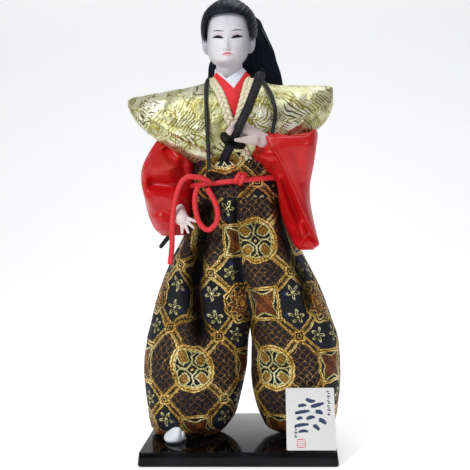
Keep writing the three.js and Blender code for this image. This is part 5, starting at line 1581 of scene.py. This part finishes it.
leftCreases = [
    (4.2, 1.5, [(27.8, 184), (29.2, 179), (31.5, 168.5), (34.5, 158.9), (38.8, 149.2), (43, 135.5)]),
    (-4.4, 1.6, [(30.5, 181), (34.5, 170), (38.6, 159), (43, 148)]),
    (3, 1.1, [(41.5, 153), (44, 148.5), (46, 143)]), (3, 1, [(43, 135.6), (46.6, 140), (50.5, 137.2)]),
    (4, 1.2, [(14.6, 194.4), (18.4, 192.4), (21.3, 190.7), (28.2, 188)]),
    (3, 1.1, [(17, 192.4), (20, 193.6), (24, 194), (28, 193.4)]), (-5, 2, [(14, 190.6), (19, 187.6), (26, 184.6)]),
    (-2, 1.5, [(12.6, 197.6), (17, 197), (22, 196)]), (-1.6, 3.4, [(40, 200), (41, 186), (43, 172)]),
    (1.4, 2.6, [(47, 204), (47, 192), (46, 178)]), (-3.6, 1.5, [(27, 174), (30, 162), (35, 148)]),
]
sleeveCloth = {"flutes": 5, "depth": 0.04, "turnPerMillimetre": 0.02, "softFolds": (15, 0.7), "smallFolds": (5, 0.2)}
lining = {"back": 4.4, "rolled": 1.4, "sag": 4.4}


def sleeveMesh(rows, power, phase, creases, edge=None, across=240, along=220):
    # edge is a line in the front view: the cloth left of it is the lining and lies further back
    at = smoothRows(rows)
    low, high = rows[0][0], rows[-1][0]
    (softSize, softDeep), (smallSize, smallDeep) = sleeveCloth["softFolds"], sleeveCloth["smallFolds"]

    def place(i, j):
        z = low + (high - low) * j / along
        angle = i / across * turn
        twisted = angle + z * sleeveCloth["turnPerMillimetre"]
        flute = sleeveCloth["depth"] * math.cos(sleeveCloth["flutes"] * twisted + phase)
        spot = levelPoint(at(z), z, angle, power, 1 + flute * ease(min(z - low, high - z), 0, 14))
        facing = max(0, -math.sin(angle)) ** 0.5
        spot.y -= creased(spot.x, z, creases) * facing
        if edge:
            inside = lineAt(edge, z) - spot.x
            spot.y += facing * (lining["back"] * ease(inside, -0.4, 0.4) * ease(z, 134, 142)
                                - lining["rolled"] * bell(inside + 1.3, 1))
            # the top edge sinks in its middle
            spot.z -= lining["sag"] * ease(spot.x, 19, 27) * (1 - ease(spot.x, 45, 53)) * ease(z, 192, 209.8)
        spot.y += softDeep * ripple(spot.x, z, phase * 10, softSize) + smallDeep * ripple(
            spot.x, z, phase * 20, smallSize)
        return spot

    return gridMesh(across, along, place)


rightSleeve = addPiece("rightSleeve", sleeveMesh(rightSleeveLevels, 2.2, 0.6, rightCreases), redSatin,
                       ["right_sleeve"], "red_satin", sharp=75)
cuff = {"x": -38.5, "y": -13, "low": 137, "height": 20, "half": 6.4, "deep": 5.6, "taper": 0.02}
cuffPath = [Vector((cuff["x"], cuff["y"], cuff["low"] + k)) for k in range(cuff["height"])]
carve(rightSleeve, sweepMesh(cuffPath, 40, oval(cuff["half"], cuff["deep"], cuff["taper"]), up=(0, -1, 0)), sharp=75)
leftSleeve = addPiece("leftSleeve", sleeveMesh(leftSleeveLevels, 2.5, 2.2, leftCreases, leftEdge), redSatin,
                      ["left_sleeve"], "red_satin", sharp=75)


sleeveMouth = {
    "low": 198.6, "height": 13, "left": -12, "front": -72, "back": -34.5, "power": 6, "slope": 0.27,
    "edge": [(17.5, 209), (21.6, 205), (23.2, 199.8), (24.5, 194), (24.7, 192), (24.8, 180)],
}


def mouthMesh(across=64, along=60):
    # the room inside the left sleeve's open mouth, above its lining
    def place(i, j):
        z = sleeveMouth["low"] + sleeveMouth["height"] * j / along
        edges = sleeveMouth["left"], lineAt(sleeveMouth["edge"], z), sleeveMouth["front"], sleeveMouth["back"]
        spot = levelPoint(edges, z, i / across * turn, sleeveMouth["power"])
        spot.z -= sleeveMouth["slope"] * (max(spot.x, 10) - 18) * (1 - j / along)
        spot.y += (1.2 * ripple(spot.x, z * 2, 0, 7) + 0.9) * ease(spot.y, -60, -36)
        return spot

    return gridMesh(across, along, place)


carve(leftSleeve, mouthMesh(), sharp=75)
for sleeve in (rightSleeve, leftSleeve):
    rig.padded(sleeve, fill=0.4)
print("sleeves made")


# Hands: tapered rods melted together, then smoothed; the fourth number of a place is the rod's radius there
leftHand = {
    "wrist": (19.8, -32.4, 203.2, 5), "palm": (9.4, -35.6, 209.8, 4.1),
    "fingers": [
        [(8.2, -35.4, 213), (2.9, -38.6, 214.4), (-2, -42.4, 208.4)],
        [(7.6, -35.2, 210.8), (1.6, -38.6, 211.6), (-0.6, -42.8, 206.9)],
        [(7, -35, 207.4), (3.4, -36.4, 208.2), (1.4, -37.6, 207.4)],
    ],
    "finger": (1.7, 1.6, 1.25), "thumb": [(14.6, -37.2, 203.2, 3.5), (3, -43, 202.9, 1.1)],
}
rightHand = {
    "wrist": (-38, -17, 165, 3.2), "palm": (-33.4, -30.4, 154.6, 4.6),
    "tips": [(-23.6, -31.4, 152.6), (-25.9, -32.2, 148.9), (-29.2, -32.6, 145.9), (-33.2, -32.4, 145.6)],
    "finger": (1.5, 0.9), "fan": 5.4,
}


def addRod(bm, start, end, balls=14):
    # a row of balls that the remesh melts into one tapered rod
    for k in range(balls):
        share = k / (balls - 1)
        radius = start[3] + (end[3] - start[3]) * share
        spot = Vector(start[:3]).lerp(Vector(end[:3]), share)
        bmesh.ops.create_icosphere(bm, subdivisions=2, radius=radius, matrix=Matrix.Translation(spot))


melt = {"voxel": 0.00032, "factor": 0.5, "iterations": 9}


def meltHand(name, bm, replaced, code):
    piece = addPiece(name, bm, paintedGofun, replaced, "skin", sharp=180)
    remesh = piece.modifiers.new("melt", "REMESH")
    remesh.mode = "VOXEL"
    remesh.voxel_size = melt["voxel"]
    smooth = piece.modifiers.new("smooth", "SMOOTH")
    smooth.factor = melt["factor"]
    smooth.iterations = melt["iterations"]
    applyModifiers(piece, 180)
    layer = piece.data.color_attributes.new("paint", "FLOAT_COLOR", "POINT")
    skin = srgb(code)
    for entry in layer.data:
        entry.color = skin
    piece.data.materials.clear()
    piece.data.materials.append(paintedGofun)


leftMesh = bmesh.new()
addRod(leftMesh, leftHand["wrist"], leftHand["palm"])
for finger in leftHand["fingers"]:
    knuckle, bend, tip = ((*place, radius) for place, radius in zip(finger, leftHand["finger"]))
    addRod(leftMesh, knuckle, bend, 9)
    addRod(leftMesh, bend, tip, 10)
addRod(leftMesh, *leftHand["thumb"], 20)
# painted shade: the left hand lies in the sleeve's shadow and is painted darker than the right
meltHand("leftHand", leftMesh, ["left_hand"], "#cdbdb9")

rightMesh = bmesh.new()
addRod(rightMesh, rightHand["wrist"], rightHand["palm"])
px, py, pz, _ = rightHand["palm"]
thick, thin = rightHand["finger"]
for k, tip in enumerate(rightHand["tips"]):
    fan = (k / 3 - 0.5) * rightHand["fan"]
    addRod(rightMesh, (px + 1.4 - fan * 0.5, py - 1.2, pz - 0.6 - fan * 0.5, thick), (*tip, thin))
meltHand("rightHand", rightMesh, ["right_hand"], "#e8dcd8")
print("hands made")


# Sword: lacquered scabbard through the waist, lobed guard, bound hilt with a capped pommel
swordAxis = [
    (-54.2, 6, 134.8), (-46.2, 1, 143.6), (-31, -6, 161.5), (-17.8, -14.2, 177), (-7.2, -25, 190.6),
    (1.4, -37, 204.4), (12, -45.2, 224.2), (20.2, -50, 242.8),
]
sword = {
    "scabbard": 6, "tip": 2.9, "tipRound": 2.2, "widening": 0.45, "lip": (4, 0.35),
    "hilt": 5.3, "tapePitch": 9.5, "tapeProud": 0.42, "ferrule": (2, 0.15),
    "pommel": 6.4, "pommelFrom": 0.9, "pommelRound": (1.6, 1.1), "guardAt": 0.678, "room": 0.013,
}
guard = {"radius": 8.9, "lobes": 4, "lobeDepth": 0.11, "thickness": 1.7, "rim": 0.9, "dish": 0.7}
swordPath = smoothPath(swordAxis, 0.5)


def swordStretch(start, end):
    last = len(swordPath) - 1
    return swordPath[round(start * last):round(end * last) + 1]


def scabbardMesh():
    path = swordStretch(0, sword["guardAt"] - sword["room"])
    total = pathLength(path)
    lipLength, lipProud = sword["lip"]

    def section(angle, distance):
        share = distance / total
        wide = sword["tip"] + (sword["scabbard"] - sword["tip"]) * ease(share, 0, sword["widening"])
        wide *= math.sqrt(max(0.02, 1 - max(0, 1 - distance / sword["tipRound"]) ** 2))
        if total - distance < lipLength:
            wide += lipProud
        return wide / 2 * math.cos(angle), wide / 2 * math.sin(angle)

    return sweepMesh(path, 36, section)


def hiltMesh():
    path = swordStretch(sword["guardAt"] + sword["room"], 1)
    total = pathLength(path)
    roundLength, roundDeep = sword["pommelRound"]
    ferruleLength, ferruleProud = sword["ferrule"]

    def section(angle, distance):
        # two tapes wound opposite ways cross on the front and back
        slide = turn * distance / sword["tapePitch"]
        tapes = max(math.cos(angle + slide), math.cos(angle - slide), math.cos(angle + slide + math.pi) * 0.98,
                    math.cos(angle - slide + math.pi) * 0.98)
        wide = sword["hilt"] / 2 - 0.22 + sword["tapeProud"] * ease(tapes, 0.72, 0.86)
        if distance > total * sword["pommelFrom"]:
            wide = sword["pommel"] / 2 - roundDeep * ease(distance, total - roundLength, total)
        if distance < ferruleLength:
            wide = sword["hilt"] / 2 + ferruleProud
        return wide * math.cos(angle), wide * math.sin(angle)

    return sweepMesh(path, 60, section)


def guardMesh():
    bm = bmesh.new()
    bmesh.ops.create_circle(bm, cap_ends=True, segments=128, radius=guard["radius"])
    for v in bm.verts:
        angle = math.atan2(v.co.y, v.co.x)
        v.co *= 1 - guard["lobeDepth"] * abs(math.sin(angle * guard["lobes"] / 2))
    thicken(bm, bm.faces[:], (0, 0, guard["thickness"]))
    caps = [f for f in bm.faces if len(f.verts) > 8]
    bmesh.ops.inset_region(bm, faces=caps, thickness=guard["rim"], depth=0)
    bmesh.ops.translate(bm, verts=bm.verts, vec=(0, 0, -guard["thickness"] / 2))
    for f in bm.faces:
        if len(f.verts) > 8:
            for v in f.verts:
                v.co.z *= guard["dish"]
    last = len(swordPath) - 1
    k = round(sword["guardAt"] * last)
    along = (swordPath[k + 2] - swordPath[k - 2]).normalized()
    side = Vector((0, 1, 0)).cross(along).normalized()
    turned = Matrix((side, along.cross(side), along)).transposed().to_4x4()
    bm.transform(Matrix.Translation(swordPath[k]) @ turned)
    return bm


addPiece("lacquerScabbard", scabbardMesh(), scabbardLacquer, ["scabbard"], "scabbard_black")
addPiece("swordHilt", hiltMesh(), hiltBinding, ["sword_hilt"], "hilt_wrap")
addPiece("swordGuard", guardMesh(), guardMetal, ["sword_guard"], "guard_black", sharp=35)
ring = {"place": (20.2, -50.2, 242.6), "radius": 1.5, "wire": 0.4}
rx, ry, rz = ring["place"]
ringPath = smoothPath([(rx + ring["radius"] * math.cos(a), ry, rz + ring["radius"] * math.sin(a)) for a in
                       [turn * k / 8 for k in range(8)]], 0.3, closed=True)
addPiece("pommelRing", sweepMesh(ringPath, 12, oval(ring["wire"], ring["wire"]), up=(0, -1, 0), joined=True),
         guardMetal, [], "guard_black")
print("sword made")


# Belt: a red rope round the waist, tied off in a lumpy knot
belt = {"z": 178.2, "tilt": 0.075, "off": 2.9}


def beltRoute():
    left, _, front, back = smoothRows(rightLeg["rows"])(belt["z"])
    right = smoothRows(leftLeg["rows"])(belt["z"])[1]
    off = belt["off"]
    edges = left - off, right + off, front - off, back + off
    spots = [levelPoint(edges, belt["z"], turn * k / 20) for k in range(20)]
    return [(spot.x, spot.y, spot.z + spot.x * belt["tilt"]) for spot in spots]


addPiece("belt", ropeMesh(smoothPath(beltRoute(), 0.45, closed=True), redCord, up=(0, 0, 1), joined=True),
         redRayonCord, ["belt_cord"], "red_braid", sharp=80)
# each turn of the knot: its middle from the place, and how far it sways, its half depth and half height
knot = {"place": (5.7, -28.9, 179.2), "turns": [((0, 0, 0), (1.5, 2.6, 2.6)), ((-2.8, -0.4, 1), (1.8, 2.3, 2.5))]}


def knotTurn(middle, halves):
    x, y, z = (a + b for a, b in zip(knot["place"], middle))
    sway, deep, tall = halves
    spots = [(x + sway * math.sin(a), y + deep * math.cos(a), z + tall * math.sin(a)) for a in
             [turn * k / 12 for k in range(12)]]
    return ropeMesh(smoothPath(spots, 0.4, closed=True), redCord, up=(1, 0, 0), joined=True)


addPiece("beltKnot", joinMeshes([knotTurn(*each) for each in knot["turns"]]), redRayonCord, ["belt_knot"],
         "red_braid", sharp=80)
print("belt made")


# Studio: a pale sweep of floor and soft light
studio = {
    "half": 1600, "front": -900, "length": 2600, "bend": 700, "back": 1500, "glow": 0.44, "world": 0.28,
    "lights": [("key", (-0.5, -0.75, 0.85), 7.6, 0.3), ("fill", (0.9, -0.8, 0.5), 1.2, 0.7),
               ("top", (0.15, 0.2, 1.1), 4, 0.6)],
}


def makeStudio(across=20, along=40):
    def place(i, j):
        # flat in front, then curving up behind the doll
        y = studio["front"] + studio["length"] * j / along
        lift = 0 if y < studio["bend"] else (y - studio["bend"]) ** 2 / 900
        return Vector((-studio["half"] + 2 * studio["half"] * i / across, min(y, studio["back"]), lift - 0.05))

    floor = makeObject("floor", gridMesh(across, along, place, closed=False))
    floor.data.shade_smooth()
    material, tree, shader = newMaterial("paleStudioPaper", Specular_IOR_Level=0.2, Emission_Color=(1, 1, 1, 1),
                                         Emission_Strength=studio["glow"])
    grain = addNode(tree, "TexNoise", Vector=addNode(tree, "TexCoord").outputs["Object"], Scale=60.0)
    wire(tree, shader, Base_Color=addNode(tree, "MixRGB", grain, srgb("#e9e9ea"), srgb("#f1f1f1")))
    floor.data.materials.append(material)
    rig.stage(floor)
    for name, spot, power, size in studio["lights"]:
        light = bpy.data.lights.new(name, "AREA")
        light.energy = power
        light.size = size
        lamp = bpy.data.objects.new(name, light)
        bpy.context.scene.collection.objects.link(lamp)
        lamp.location = spot
        lamp.rotation_euler = (Vector((0, 0, 0.15)) - Vector(spot)).to_track_quat("-Z", "Y").to_euler()
    world = bpy.data.worlds.new("world")
    world.use_nodes = True
    sky = world.node_tree.nodes["Background"]
    sky.inputs["Color"].default_value = (0.93, 0.95, 1.0, 1)
    sky.inputs["Strength"].default_value = studio["world"]
    bpy.context.scene.world = world
    bpy.context.scene.view_settings.view_transform = "Standard"


makeStudio()
print("studio made")

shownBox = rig.bounds()
with open("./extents.json", "w") as out:
    json.dump({"cad": [list(corner) for corner in cadBox], "shown": [list(corner) for corner in shownBox]}, out)
